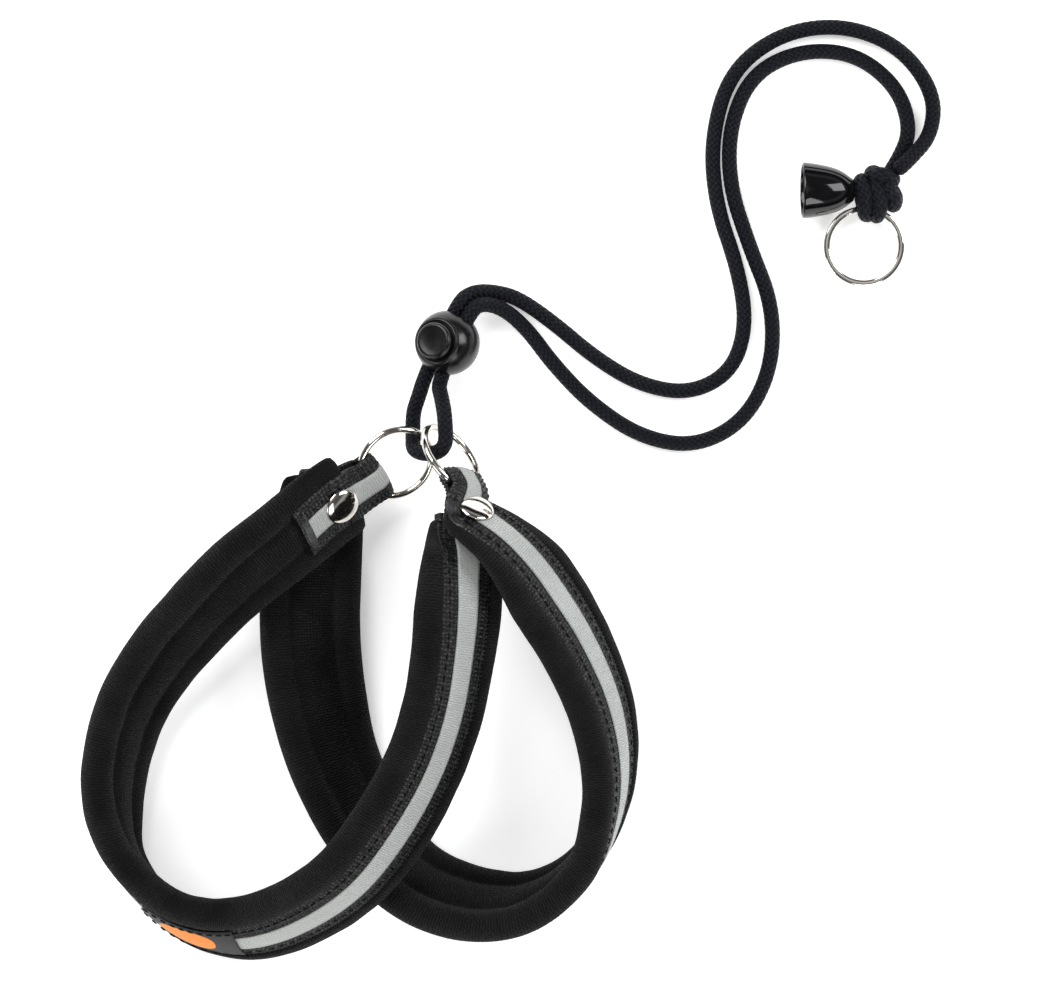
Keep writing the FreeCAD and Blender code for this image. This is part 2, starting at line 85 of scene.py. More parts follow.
def lamp(name, place, size, power, colour=(1.0, 1.0, 1.0)):
    """A square soft lamp that looks at the middle of the harness."""
    data = bpy.data.lights.new(name, "AREA")
    data.size = size
    data.energy = power
    data.color = colour
    light = bpy.data.objects.new(name, data)
    light.location = place
    look = Vector((0.04, 0.03, 0.0)) - Vector(place)
    light.rotation_euler = look.to_track_quat("-Z", "Y").to_euler()
    scene.collection.objects.link(light)


lamp("large_soft_lamp", (-0.55, 0.75, 1.0), 0.9, 17.0)
lamp("side_lamp", (0.95, 0.35, 0.7), 0.6, 8.0, (0.97, 0.98, 1.0))
lamp("low_lamp", (-0.75, -0.6, 0.4), 0.5, 4.0)
lamp("front_lamp", (0.35, -0.9, 0.8), 0.6, 6.5)


def new_material(name, colour, roughness, metallic=0.0, **plain):
    """A material with its Principled shader; each plain value sits on its own socket."""
    material = bpy.data.materials.new(name)
    material.use_nodes = True
    shader = material.node_tree.nodes["Principled BSDF"]
    shader.inputs["Base Color"].default_value = (*colour, 1.0)
    shader.inputs["Roughness"].default_value = roughness
    shader.inputs["Metallic"].default_value = metallic
    for socket, value in plain.items():
        shader.inputs[socket.replace("_", " ")].default_value = value
    return material, material.node_tree, shader


def node(tree, kind, **settings):
    """A shader node; a setting that isn't the node's own is one of its inputs."""
    made = tree.nodes.new(kind)
    for key, value in settings.items():
        if hasattr(made, key):
            setattr(made, key, value)
        else:
            made.inputs[key].default_value = value
    return made


def math_node(tree, operation, first, second=None):
    """One sum, with each side a socket or a number."""
    made = tree.nodes.new("ShaderNodeMath")
    made.operation = operation
    for slot, value in enumerate((first, second)):
        if value is None:
            continue
        if isinstance(value, (int, float)):
            made.inputs[slot].default_value = value
        else:
            tree.links.new(value, made.inputs[slot])
    return made.outputs[0]


def new_group(name, inputs, outputs):
    """An empty node group with named number sockets and one Place vector."""
    tree = bpy.data.node_groups.new(name, "ShaderNodeTree")
    tree.interface.new_socket("Place", in_out="INPUT", socket_type="NodeSocketVector")
    for label, value in inputs:
        made = tree.interface.new_socket(label, in_out="INPUT", socket_type="NodeSocketFloat")
        made.default_value = value
    for label in outputs:
        tree.interface.new_socket(label, in_out="OUTPUT", socket_type="NodeSocketFloat")
    return tree, tree.nodes.new("NodeGroupInput"), tree.nodes.new("NodeGroupOutput")


def mottle_group():
    """Uneven dust, handling marks and random tone, shared by every finish; on the webbing it places
    painted glints.
    """
    tree, start, end = new_group("mottle", [("Size", 400.0), ("Contrast", 1.0)], ["Mask"])
    cloud = node(tree, "ShaderNodeTexNoise", Detail=4.0, Roughness=0.6)
    tree.links.new(start.outputs["Place"], cloud.inputs["Vector"])
    tree.links.new(start.outputs["Size"], cloud.inputs["Scale"])
    centred = math_node(tree, "SUBTRACT", cloud.outputs["Fac"], 0.5)
    spread = math_node(tree, "MULTIPLY", centred, start.outputs["Contrast"])
    raised = math_node(tree, "ADD", spread, 0.5)
    raised.node.use_clamp = True
    tree.links.new(raised, end.inputs["Mask"])
    return tree


MOTTLE = mottle_group()


def use_group(tree, group, place, **values):
    made = tree.nodes.new("ShaderNodeGroup")
    made.node_tree = group
    tree.links.new(place, made.inputs["Place"])
    for label, value in values.items():
        made.inputs[label].default_value = value
    return made


def blend_colour(tree, mask, dark, light):
    """The colour that goes from dark to light with the mask."""
    mix = tree.nodes.new("ShaderNodeMix")
    mix.data_type = "RGBA"
    tree.links.new(mask, mix.inputs["Factor"])
    mix.inputs[6].default_value = (*dark, 1.0)
    mix.inputs[7].default_value = (*light, 1.0)
    return mix.outputs[2]


def blend_value(tree, mask, low, high):
    """The number that goes from low to high with the mask."""
    made = tree.nodes.new("ShaderNodeMapRange")
    tree.links.new(mask, made.inputs["Value"])
    made.inputs["To Min"].default_value = low
    made.inputs["To Max"].default_value = high
    return made.outputs["Result"]


def bump(tree, shader, height, distance, strength=1.0):
    made = tree.nodes.new("ShaderNodeBump")
    made.inputs["Distance"].default_value = distance
    made.inputs["Strength"].default_value = strength
    tree.links.new(height, made.inputs["Height"])
    tree.links.new(made.outputs["Normal"], shader.inputs["Normal"])


def object_place(tree):
    return tree.nodes.new("ShaderNodeTexCoord").outputs["Object"]


def surface_place(tree):
    """The piece's own UV map: metres along it and metres round it."""
    return node(tree, "ShaderNodeUVMap", uv_map="UVMap").outputs["UV"]


TABLE_HALF = 3.0
table_bm = bmesh.new()
bmesh.ops.create_grid(table_bm, x_segments=4, y_segments=4, size=TABLE_HALF)
table_mesh = bpy.data.meshes.new("table")
table_bm.to_mesh(table_mesh)
table_bm.free()
table_top = bpy.data.objects.new("table", table_mesh)
scene.collection.objects.link(table_top)
table_finish, table_tree, table_shader = new_material("pale_table", (0.93, 0.93, 0.93), 0.7,
                                                      Emission_Color=(1.0, 1.0, 1.0, 1.0),
                                                      Emission_Strength=0.42)
table_marks = use_group(table_tree, MOTTLE, object_place(table_tree), Size=6.0, Contrast=0.4)
table_tree.links.new(blend_colour(table_tree, table_marks.outputs["Mask"], (0.92, 0.92, 0.92),
                                  (0.95, 0.95, 0.95)), table_shader.inputs["Base Color"])
table_mesh.materials.append(table_finish)


# ---------------------------------------------------------------- the drawcord
# One length of 4.5 mm braided polyester cord. Both its ends are tied in the knot; it runs down
# through the ball lock, round both welded rings and back up. Sixteen strands make its sheath.
CORD_RADIUS = 2.25 * MM
BRAID_STRANDS = 8              # each way round
BRAID_LAY = 15.0 * MM
CORD_STEP = 0.5 * MM
CORD_SIDES = 40
CORD_ROUTE = [
    (0.1586, 0.1547, 0.0095), (0.1631, 0.1587, 0.0075), (0.1701, 0.1667, 0.0040), (0.1709, 0.1792, 0.0023),
    (0.1606, 0.1932, 0.0023), (0.1431, 0.1997, 0.0023), (0.1246, 0.1969, 0.0023), (0.1096, 0.1852, 0.0023),
    (0.1040, 0.1650, 0.0023), (0.1055, 0.1455, 0.0023), (0.1121, 0.1266, 0.0023), (0.1148, 0.1096, 0.0023),
    (0.1103, 0.0955, 0.0023), (0.0977, 0.0889, 0.0023), (0.0828, 0.0916, 0.0023), (0.0693, 0.0997, 0.0023),
    (0.0567, 0.1104, 0.0023), (0.0461, 0.1178, 0.0026), (0.0384, 0.1195, 0.0050), (0.0325, 0.1191, 0.0085),
    (0.0283, 0.1157, 0.0106), (0.0185, 0.0942, 0.0069), (0.0166, 0.0878, 0.0079), (0.0150, 0.0832, 0.0086),
    (0.0150, 0.0767, 0.0106), (0.0152, 0.0708, 0.0156), (0.0252, 0.0710, 0.0220), (0.0248, 0.0817, 0.0206),
    (0.0236, 0.0877, 0.0140), (0.0223, 0.0921, 0.0087), (0.0321, 0.1136, 0.0124), (0.0362, 0.1158, 0.0095),
    (0.0424, 0.1141, 0.0050), (0.0493, 0.1080, 0.0026), (0.0567, 0.0979, 0.0023), (0.0678, 0.0862, 0.0023),
    (0.0828, 0.0760, 0.0023), (0.0993, 0.0730, 0.0023), (0.1142, 0.0808, 0.0023), (0.1223, 0.0967, 0.0023),
    (0.1226, 0.1155, 0.0023), (0.1154, 0.1335, 0.0023), (0.1095, 0.1515, 0.0023), (0.1096, 0.1694, 0.0023),
    (0.1163, 0.1847, 0.0023), (0.1307, 0.1919, 0.0023), (0.1472, 0.1910, 0.0023), (0.1597, 0.1811, 0.0023),
    (0.1639, 0.1685, 0.0026), (0.1606, 0.1595, 0.0036), (0.1566, 0.1537, 0.0044),
]

cord_curve = bpy.data.curves.new("cord_line", "CURVE")
cord_curve.dimensions = "3D"
cord_curve.resolution_u = 24
cord_spline = cord_curve.splines.new("NURBS")
cord_spline.points.add(len(CORD_ROUTE) - 1)
for spline_point, place in zip(cord_spline.points, CORD_ROUTE):
    spline_point.co = (*place, 1.0)
cord_spline.order_u = 3
cord_spline.use_endpoint_u = True
cord_line = bpy.data.objects.new("cord_line", cord_curve)
scene.collection.objects.link(cord_line)
line_mesh = bpy.data.meshes.new_from_object(cord_line)
cord_points = [v.co.copy() for v in line_mesh.vertices]
bpy.data.objects.remove(cord_line)


class Route:
    """A line with a width direction at every point, that a straight-made piece is laid along."""

    def __init__(self, points, across, sizes=None):
        self.points = points
        self.reach = [0.0]
        for before, after in zip(points, points[1:]):
            self.reach.append(self.reach[-1] + (after - before).length)
        self.length = self.reach[-1]
        last = len(points) - 1
        self.across, self.outward = [], []
        for number, side in enumerate(across):
            along = (points[min(last, number + 1)] - points[max(0, number - 1)]).normalized()
            side = (side - along * side.dot(along)).normalized()
            self.across.append(side)
            self.outward.append(along.cross(side))
        self.sizes = sizes or [1.0] * len(points)

    def spot(self, distance):
        """The point, width direction, outward direction and size at a distance along."""
        upper = min(max(bisect.bisect_right(self.reach, distance), 1), len(self.points) - 1)
        lower = upper - 1
        share = (distance - self.reach[lower]) / max(1e-9, self.reach[upper] - self.reach[lower])
        return (self.points[lower].lerp(self.points[upper], share),
                self.across[lower].lerp(self.across[upper], share).normalized(),
                self.outward[lower].lerp(self.outward[upper], share).normalized(),
                self.sizes[lower] + (self.sizes[upper] - self.sizes[lower]) * share)

    def at(self, distance, side, rise):
        point, across, outward, size = self.spot(distance)
        return point + across * side + outward * rise


def rolling_route(points, closed=False):
    """A route whose width direction is carried along without twisting."""
    ways = [(after - before).normalized() for before, after in zip(points, points[1:])]
    ways.append(ways[0] if closed else ways[-1])
    across = [ways[0].orthogonal().normalized()]
    for before, after in zip(ways, ways[1:]):
        across.append(before.rotation_difference(after) @ across[-1])
    return Route(points, across)


def from_grid(name, along, around, length, girth, place, closed_round=True, closed_long=False,
              filled=False, body="harness", smooth=True):
    """A piece made from a flat grid: place gives each point from its share along and round.
    Its UV map holds metres along and metres round."""
    bm = bmesh.new()
    bmesh.ops.create_grid(bm, x_segments=along, y_segments=around, size=0.5)
    chart = bm.loops.layers.uv.new("UVMap")
    for face in bm.faces:
        for corner in face.loops:
            u, v = corner.vert.co.x + 0.5, corner.vert.co.y + 0.5
            corner[chart].uv = (u * length, v * girth)
    for vert in bm.verts:
        vert.co = place(vert.co.x + 0.5, vert.co.y + 0.5)
    if closed_round or closed_long:
        bmesh.ops.remove_doubles(bm, verts=bm.verts, dist=1e-7)
    if filled:
        rims = [edge for edge in bm.edges if edge.is_boundary]
        bmesh.ops.holes_fill(bm, edges=rims, sides=0)
    bmesh.ops.recalc_face_normals(bm, faces=bm.faces)
    return finish_piece(name, bm, body, smooth)


def finish_piece(name, bm, body="harness", smooth=True):
    """The bmesh as an object at the origin that rides on its CAD body."""
    for face in bm.faces:
        face.smooth = smooth
    mesh = bpy.data.meshes.new(name)
    bm.to_mesh(mesh)
    bm.free()
    piece = bpy.data.objects.new(name, mesh)
    scene.collection.objects.link(piece)
    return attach(piece, body)


def braid_rise(along, share_round):
    """How far a strand of the braid stands out, from 0 in a valley to 1 on a crown."""
    turn = along / BRAID_LAY
    right, left = BRAID_STRANDS * (share_round + turn), BRAID_STRANDS * (share_round - turn)
    over = right if (math.floor(right) + math.floor(left)) % 2 else left
    return abs(math.sin(math.pi * over))


def cord_tube(name, route, radius, step, sides, closed=False, body="harness"):
    """A braided tube along a route, its two ends rounded over."""
    count = max(8, int(route.length / step))

    def place(u, v):
        point, across, outward, size = route.spot(u * route.length)
        from_end = min(u, 1 - u) * route.length
        share = 1.0 if closed else math.sqrt(max(0.02, 1 - max(0.0, 1 - from_end / radius) ** 2))
        reach = radius * share + 0.13 * MM * (braid_rise(u * route.length, v) - 0.7)
        angle = 2 * math.pi * v
        return point + (across * math.cos(angle) + outward * math.sin(angle)) * reach

    return from_grid(name, count, sides, route.length, 2 * math.pi * radius, place,
                     closed_long=closed, filled=not closed, body=body)


def braid_group():
    """The braid's crowns and which way each strand runs."""
    tree, start, end = new_group("braid", [("Girth", 0.0141), ("Lay", 0.015), ("Strands", 8.0)],
                                 ["Height", "Way"])
    parts = tree.nodes.new("ShaderNodeSeparateXYZ")
    tree.links.new(start.outputs["Place"], parts.inputs[0])
    turn = math_node(tree, "DIVIDE", parts.outputs["X"], start.outputs["Lay"])
    share = math_node(tree, "DIVIDE", parts.outputs["Y"], start.outputs["Girth"])
    right = math_node(tree, "MULTIPLY", math_node(tree, "ADD", share, turn),
                      start.outputs["Strands"])
    left = math_node(tree, "MULTIPLY", math_node(tree, "SUBTRACT", share, turn),
                     start.outputs["Strands"])
    cells = math_node(tree, "ADD", math_node(tree, "FLOOR", right),
                      math_node(tree, "FLOOR", left))
    odd = math_node(tree, "PINGPONG", cells, 1.0)
    choose = tree.nodes.new("ShaderNodeMix")
    tree.links.new(odd, choose.inputs["Factor"])
    tree.links.new(left, choose.inputs[2])
    tree.links.new(right, choose.inputs[3])
    crown = math_node(tree, "ABSOLUTE", math_node(
        tree, "SINE", math_node(tree, "MULTIPLY", choose.outputs[0], math.pi)))
    tree.links.new(crown, end.inputs["Height"])
    tree.links.new(odd, end.inputs["Way"])
    return tree


BRAID = braid_group()


def cord_finish(name, dark, light):
    """Black polyester with a navy cast; fine filaments run along each strand. Its colour is painted
    lighter on the braid's crowns and darker between strands: painted shade.
    """
    material, tree, shader = new_material(name, dark, 0.6, Specular_IOR_Level=0.16)
    place = surface_place(tree)
    braid = use_group(tree, BRAID, place)
    lint = use_group(tree, MOTTLE, object_place(tree), Size=1500.0, Contrast=2.2)
    # The braid's crowns take the light colour and the gaps between strands the dark one: painted shade,
    # broken up by lint.
    mask = math_node(tree, "MULTIPLY", math_node(tree, "POWER", braid.outputs["Height"], 1.6),
                     lint.outputs["Mask"])
    tree.links.new(blend_colour(tree, mask, dark, light), shader.inputs["Base Color"])
    tree.links.new(blend_value(tree, braid.outputs["Height"], 0.75, 0.5),
                   shader.inputs["Roughness"])
    threads = node(tree, "ShaderNodeTexNoise", Scale=5200.0, Detail=2.0)
    tree.links.new(place, threads.inputs["Vector"])
    height = math_node(tree, "ADD", braid.outputs["Height"],
                       math_node(tree, "MULTIPLY", threads.outputs["Fac"], 0.35))
    bump(tree, shader, height, 0.4 * MM)
    return material


CORD_BLACK = cord_finish("braided_polyester", (0.0008, 0.001, 0.002), (0.010, 0.012, 0.021))

drawcord = cord_tube("drawcord_braid", rolling_route(cord_points), CORD_RADIUS, CORD_STEP,
                     CORD_SIDES)
drawcord.data.materials.append(CORD_BLACK)
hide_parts("drawcord")

# ---------------------------------------------------------------- the padded straps
# Each strap is a knitted tube over open foam, 30 mm wide, rolled into a lobe along each edge. Its
# inner face has a sewn groove beside each lobe, and its outer face a valley for the webbing. The
# rivets pinch both ends flat. Each row is a point of the pad's middle and how far its webbing
# face looks up, in degrees.
FRONT_STRAP = [
    (-0.0028, 0.0602, 0.0198, -50), (-0.0076, 0.0569, 0.0210, -50), (-0.0130, 0.0527, 0.0234, -50),
    (-0.0234, 0.0442, 0.0275, -46), (-0.0354, 0.0348, 0.0270, -42), (-0.0474, 0.0230, 0.0235, -39),
    (-0.0585, 0.0105, 0.0195, -36), (-0.0681, -0.0050, 0.0170, -31), (-0.0729, -0.0227, 0.0166, -25),
    (-0.0729, -0.0375, 0.0165, -14), (-0.0688, -0.0506, 0.0163, 2), (-0.0591, -0.0618, 0.0163, 12),
    (-0.0469, -0.0683, 0.0168, 23), (-0.0329, -0.0693, 0.0188, 34), (-0.0179, -0.0639, 0.0253, 39),
    (-0.0029, -0.0533, 0.0342, 42), (0.0090, -0.0385, 0.0378, 45), (0.0184, -0.0215, 0.0370, 43),
    (0.0245, -0.0041, 0.0360, 44), (0.0276, 0.0134, 0.0350, 47), (0.0290, 0.0262, 0.0335, 53),
    (0.0297, 0.0347, 0.0310, 60), (0.0301, 0.0405, 0.0266, 64), (0.0299, 0.0449, 0.0220, 65),
    (0.0296, 0.0494, 0.0170, 65),
]
REAR_STRAP = [
    (-0.0095, 0.0649, 0.0182, -54), (-0.0109, 0.0598, 0.0160, -54), (-0.0130, 0.0527, 0.0122, -58),
    (-0.0147, 0.0428, 0.0094, -73), (-0.0154, 0.0318, 0.0088, -80), (-0.0157, 0.0214, 0.0088, -80),
    (-0.0150, 0.0095, 0.0092, -76), (-0.0129, -0.0038, 0.0100, -67), (-0.0090, -0.0186, 0.0110, -57),
    (-0.0021, -0.0343, 0.0117, -50), (0.0047, -0.0447, 0.0122, -45), (0.0142, -0.0548, 0.0127, -41),
    (0.0255, -0.0607, 0.0130, -38), (0.0371, -0.0631, 0.0137, -31), (0.0484, -0.0620, 0.0146, -20),
    (0.0587, -0.0569, 0.0151, -8), (0.0667, -0.0486, 0.0152, 2), (0.0712, -0.0376, 0.0150, 12),
    (0.0733, -0.0258, 0.0148, 20), (0.0727, -0.0128, 0.0150, 28), (0.0694, 0.0006, 0.0165, 34),
    (0.0628, 0.0155, 0.0200, 39), (0.0557, 0.0274, 0.0250, 43), (0.0485, 0.0378, 0.0300, 42),
    (0.0412, 0.0458, 0.0310, 39), (0.0328, 0.0519, 0.0277, 38), (0.0288, 0.0551, 0.0262, 38),
]
PAD_THICK = 9.6 * MM
PINCHED = 4.2 * MM
SWELL = (0.0, 0.0, 0.15, 0.7)     # from pinched to full thickness over the first stations
LOBE_MIDDLE = 10.3 * MM
LOBE_RADIUS = 4.8 * MM
PAD_STEP = 2.4 * MM
PAD_GIRTH = 90.0 * MM
NARROW_LENGTH = 34.0 * MM     # the pads draw in over this length before the right rivet
NARROW_SHARE = 0.36           # and lose this share of their width
PAD_END_ROUND = 2.4 * MM
CREASE = 0.25 * MM


def flow(rows, parts):
    """More rows between the given ones, on a smooth curve through them."""
    ends = [rows[0], *rows, rows[-1]]
    found = []
    for a, b, c, d in zip(ends, ends[1:], ends[2:], ends[3:]):
        for part in range(parts):
            t = part / parts
            found.append([0.5 * (2 * q + (r - p) * t + (2 * p - 5 * q + 4 * r - s) * t * t
                                 + (3 * q - p - 3 * r + s) * t ** 3)
                          for p, q, r, s in zip(a, b, c, d)])
    found.append(list(rows[-1]))
    return found


def strap_route(stations):
    """The pad's middle line, facing as its tilt says; its size is the pad's thickness."""
    rows = []
    for number, row in enumerate(stations):
        inset = min(number, len(stations) - 1 - number)
        swell = SWELL[inset] if inset < len(SWELL) else 1.0
        rows.append((*row, PINCHED + (PAD_THICK - PINCHED) * swell))
    rows = flow(rows, 8)
    points = [Vector(row[:3]) for row in rows]
    across = []
    for number, row in enumerate(rows):
        along = (points[min(len(rows) - 1, number + 1)] - points[max(0, number - 1)]).normalized()
        level = Vector((along.y, -along.x, 0.0)).normalized()
        tilt = math.radians(row[3])
        outward = level * math.cos(tilt) + level.cross(along) * math.sin(tilt)
        across.append(outward.cross(along))
    return Route(points, across, [row[4] for row in rows])


def pad_outline():
    """The pad's section, from the outer valley round both lobes and the inner band."""
    points = []
    for side in (1, -1):
        lobe = [(LOBE_MIDDLE + LOBE_RADIUS * math.cos(math.radians(angle)),
                 LOBE_RADIUS * math.sin(math.radians(angle)))
                for angle in range(108, -145, -14)]
        band = [(x * MM, z * MM) for x, z in ((5.7, -3.0), (4.4, -3.9), (2.4, -4.4), (0.0, -4.5))]
        valley = [(x * MM, z * MM) for x, z in ((0.0, 3.55), (3.0, 3.45), (6.0, 3.1), (8.2, 2.7))]
        row = valley + lobe + band[:-1]
        row = [(side * x, z) for x, z in row]
        points += row if side == 1 else row[:0:-1]
        if side == 1:
            points.append(band[-1])
    return points


OUTLINE = pad_outline()


def outline_at(share):
    """The place on the pad's section at a share of the way round."""
    count = len(OUTLINE)
    number = min(count - 1, int(share * count + 1e-6))
    part = share * count - number
    a, b = OUTLINE[number], OUTLINE[(number + 1) % count]
    return a[0] + (b[0] - a[0]) * part, a[1] + (b[1] - a[1]) * part


def sewn(x, z):
    """Whether this part of the section is held down by a seam or by the webbing."""
    return (z > 0 and abs(x) < 8.6 * MM) or (z < 0 and abs(x) < 6.9 * MM)


def make_pad(name, route):
    """The knitted pad, laid along its route and then blown up a little by its foam."""
    count = int(route.length / PAD_STEP)

    def place(u, v):
        x, z = outline_at(v)
        distance = u * route.length
        thickness = route.spot(distance)[3] / PAD_THICK
        from_end = min(distance, route.length - distance)
        closing = math.sqrt(max(0.02, 1 - max(0.0, 1 - from_end / PAD_END_ROUND) ** 2))
        crease = CREASE * noise.noise(Vector((distance * 160, x * 60, z * 60)))
        to_right_rivet = route.length - distance
        narrow = 1.0 - NARROW_SHARE * max(0.0, 1.0 - to_right_rivet / NARROW_LENGTH) ** 1.3
        return route.at(distance, x * narrow * (0.93 + 0.07 * closing),
                        (z + crease) * thickness * closing)

    return from_grid(name, count, len(OUTLINE), route.length, PAD_GIRTH, place, filled=True)


def inflate(pad, route, cap):
    """Foam pressure: the lobes swell between the seams, and the seams stay where they are."""
    rest = [vert.co.copy() for vert in pad.data.vertices]
    group = pad.vertex_groups.new(name="seams")
    chart = pad.data.uv_layers["UVMap"].data
    for corner in pad.data.loops:
        distance, share = chart[corner.index].uv[0], chart[corner.index].uv[1] / PAD_GIRTH
        if sewn(*outline_at(min(1.0, share))) or route.spot(distance)[3] < 0.6 * PAD_THICK:
            group.add([corner.vertex_index], 1.0, "REPLACE")
    cloth = pad.modifiers.new("foam", "CLOTH")
    cloth.settings.quality = 4
    cloth.settings.mass = 0.2
    cloth.settings.tension_stiffness = 10
    cloth.settings.compression_stiffness = 10
    cloth.settings.shear_stiffness = 4
    cloth.settings.bending_stiffness = 0.2
    cloth.settings.use_pressure = True
    cloth.settings.uniform_pressure_force = 4
    cloth.settings.effector_weights.gravity = 0
    cloth.settings.vertex_group_mass = "seams"
    cloth.collision_settings.use_collision = False
    cloth.point_cache.frame_start, cloth.point_cache.frame_end = 1, 14
    for number in range(1, 15):
        scene.frame_set(number)
    settled = pad.evaluated_get(bpy.context.evaluated_depsgraph_get())
    moved = [vert.co.copy() for vert in settled.data.vertices]
    pad.modifiers.clear()
    pad.vertex_groups.clear()
    for vert, start, end in zip(pad.data.vertices, rest, moved):
        shift = end - start
        if shift.length > cap:
            shift = shift.normalized() * cap
        vert.co = start + shift
    scene.frame_set(1)


def ribs_group():
    """Fine ribs across the piece, broken up by the loops of the yarn."""
    tree, start, end = new_group("ribs", [("Pitch", 0.001), ("Loop", 0.001)], ["Height"])
    parts = tree.nodes.new("ShaderNodeSeparateXYZ")
    tree.links.new(start.outputs["Place"], parts.inputs[0])
    full_turn = 2 * math.pi
    yarn = node(tree, "ShaderNodeTexNoise", Scale=900.0, Detail=2.0)
    tree.links.new(start.outputs["Place"], yarn.inputs["Vector"])
    stray = math_node(tree, "MULTIPLY", math_node(
        tree, "SUBTRACT", yarn.outputs["Fac"], 0.5), 1.6)
    row = math_node(tree, "DIVIDE", parts.outputs["X"], start.outputs["Pitch"])
    rib = math_node(tree, "SINE", math_node(
        tree, "MULTIPLY", math_node(tree, "ADD", row, stray), full_turn))
    loop = math_node(tree, "SINE", math_node(tree, "MULTIPLY", math_node(
        tree, "DIVIDE", parts.outputs["Y"], start.outputs["Loop"]), full_turn))
    both = math_node(tree, "ADD", math_node(tree, "MULTIPLY", rib, 0.35),
                     math_node(tree, "MULTIPLY", loop, 0.15))
    tree.links.new(math_node(tree, "ADD", both, 0.5), end.inputs["Height"])
    return tree


RIBS = ribs_group()

knit, knit_tree, knit_shader = new_material("ribbed_knit", (0.006, 0.006, 0.0065), 0.9,
                                            Specular_IOR_Level=0.12,
                                            Sheen_Weight=0.05, Sheen_Roughness=0.35)
knit_place = surface_place(knit_tree)
knit_ribs = use_group(knit_tree, RIBS, knit_place, Pitch=0.0008, Loop=0.0007)
knit_lint = use_group(knit_tree, MOTTLE, object_place(knit_tree), Size=70.0, Contrast=1.6)
# Rib crests take the light colour and rib valleys the dark one: painted shade, mottled by lint.
knit_shade_and_lint_mask = math_node(knit_tree, "MULTIPLY", knit_ribs.outputs["Height"],
                      knit_lint.outputs["Mask"])
knit_tree.links.new(blend_colour(knit_tree, knit_shade_and_lint_mask, (0.0008, 0.0008, 0.001),
                                 (0.022, 0.021, 0.0215)), knit_shader.inputs["Base Color"])
knit_tree.links.new(blend_value(knit_tree, knit_ribs.outputs["Height"], 0.95, 0.8),
                    knit_shader.inputs["Roughness"])
bump(knit_tree, knit_shader, knit_ribs.outputs["Height"], 0.4 * MM)

front_route, rear_route = strap_route(FRONT_STRAP), strap_route(REAR_STRAP)
for strap, route in (("front", front_route), ("rear", rear_route)):
    pad = make_pad(f"{strap}_knitted_pad", route)
    inflate(pad, route, 0.9 * MM)
    rounding = pad.modifiers.new("rounding", "SUBSURF")
    rounding.levels = rounding.render_levels = 1
    pad.data.materials.append(knit)
    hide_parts(f"{strap}_pad_cover", f"{strap}_pad_foam")


# ---------------------------------------------------------------- webbing and reflective tape
# An 18 mm black nylon webbing is sewn along each pad's outer face, turns round its ring and comes
# back on the inner face, where it ends under the rivet. A 7.5 mm grey reflective tape is woven
# along its middle, and its borders are coarse ribs.
WEB_HALF = 9.0 * MM
WEB_THICK = 1.3 * MM
WEB_CROWN = 0.9 * MM
RIB_PITCH = 1.25 * MM
RIB_RISE = 0.62 * MM
RIB_SINK = 0.15 * MM           # how deep the same ribs show on the lower face
RIB_COLUMNS = 2.6 * MM         # two columns of ribs, staggered by half a pitch
WEB_STEP = RIB_PITCH / 4
TAPE_HALF = 3.75 * MM
TAPE_THICK = 0.25 * MM
FOLD_WIDTH = 16.0 / 18.0
FOLD_GAP = 3.6 * MM
FOLD_REACH = 4.9 * MM
FOLD_DEPTH = 5.0 * MM
LEFT_RING = (Vector((0.0102, 0.0682, 0.0155)), Vector((0.34, -0.44, 0.83)))
RIGHT_RING = (Vector((0.0266, 0.0696, 0.0196)), Vector((0.70, 0.55, 0.45)))
LEFT_FOLD = Vector((0.836, 0.545, -0.053))
RIGHT_FOLD = Vector((-0.39, 0.827, -0.40))
FACE_STEPS = 110
TAIL = 21.0 * MM
END_SKIP = 3.5 * MM            # the webbing leaves the pad this far before the pad's end


def over_face(size):
    """How far the webbing's middle stands over the pad's middle, on its outer face."""
    return 2.55 * MM + (size - PINCHED) * 0.315


def web_route(pads, ring, fold, backwards):
    """The webbing's middle line: the outer face, the turn round the ring, and the tail."""
    centre, axis = ring
    forward, axis = fold.normalized(), axis.normalized()
    order = range(FACE_STEPS, -1, -1) if backwards else range(FACE_STEPS + 1)
    points, across, width = [], [], []
    skipped = END_SKIP if backwards else 0.0
    for step in order:
        distance = skipped + (pads.length - END_SKIP) * step / FACE_STEPS
        point, side, outward, size = pads.spot(distance)
        points.append(point + outward * over_face(size))
        across.append(-side if backwards else side)
        width.append(1.0)
    last_outward = outward
    outward = axis if axis.dot(last_outward) > 0 else -axis
    side = across[-1] - forward * across[-1].dot(forward)
    side = (side - outward * side.dot(outward)).normalized()
    radius = (FOLD_GAP + WEB_THICK) / 2
    middle = centre - forward * (FOLD_REACH + radius)
    fold_rows = [middle - forward * FOLD_DEPTH + outward * radius, middle + outward * radius]
    for step in range(1, 8):
        angle = math.pi * step / 8
        fold_rows.append(middle + (outward * math.cos(angle) + forward * math.sin(angle)) * radius)
    fold_rows += [middle - outward * radius, middle - forward * FOLD_DEPTH - outward * radius]
    points += fold_rows
    across += [side] * len(fold_rows)
    width += [FOLD_WIDTH] * len(fold_rows)
    for step in range(6):
        distance = END_SKIP + (TAIL - END_SKIP) * step / 5
        spot = pads.spot(distance if backwards else pads.length - distance)
        points.append(spot[0] - spot[2] * (spot[3] * 0.46 + WEB_THICK * 0.58))
        across.append(-spot[1] if backwards else spot[1])
        width.append(1.0)
    rows = [(*point, *way, size) for point, way, size in zip(points, across, width)]
    rows = flow(rows, 4)
    return Route([Vector(row[:3]) for row in rows], [Vector(row[3:6]) for row in rows],
                 [row[6] for row in rows])


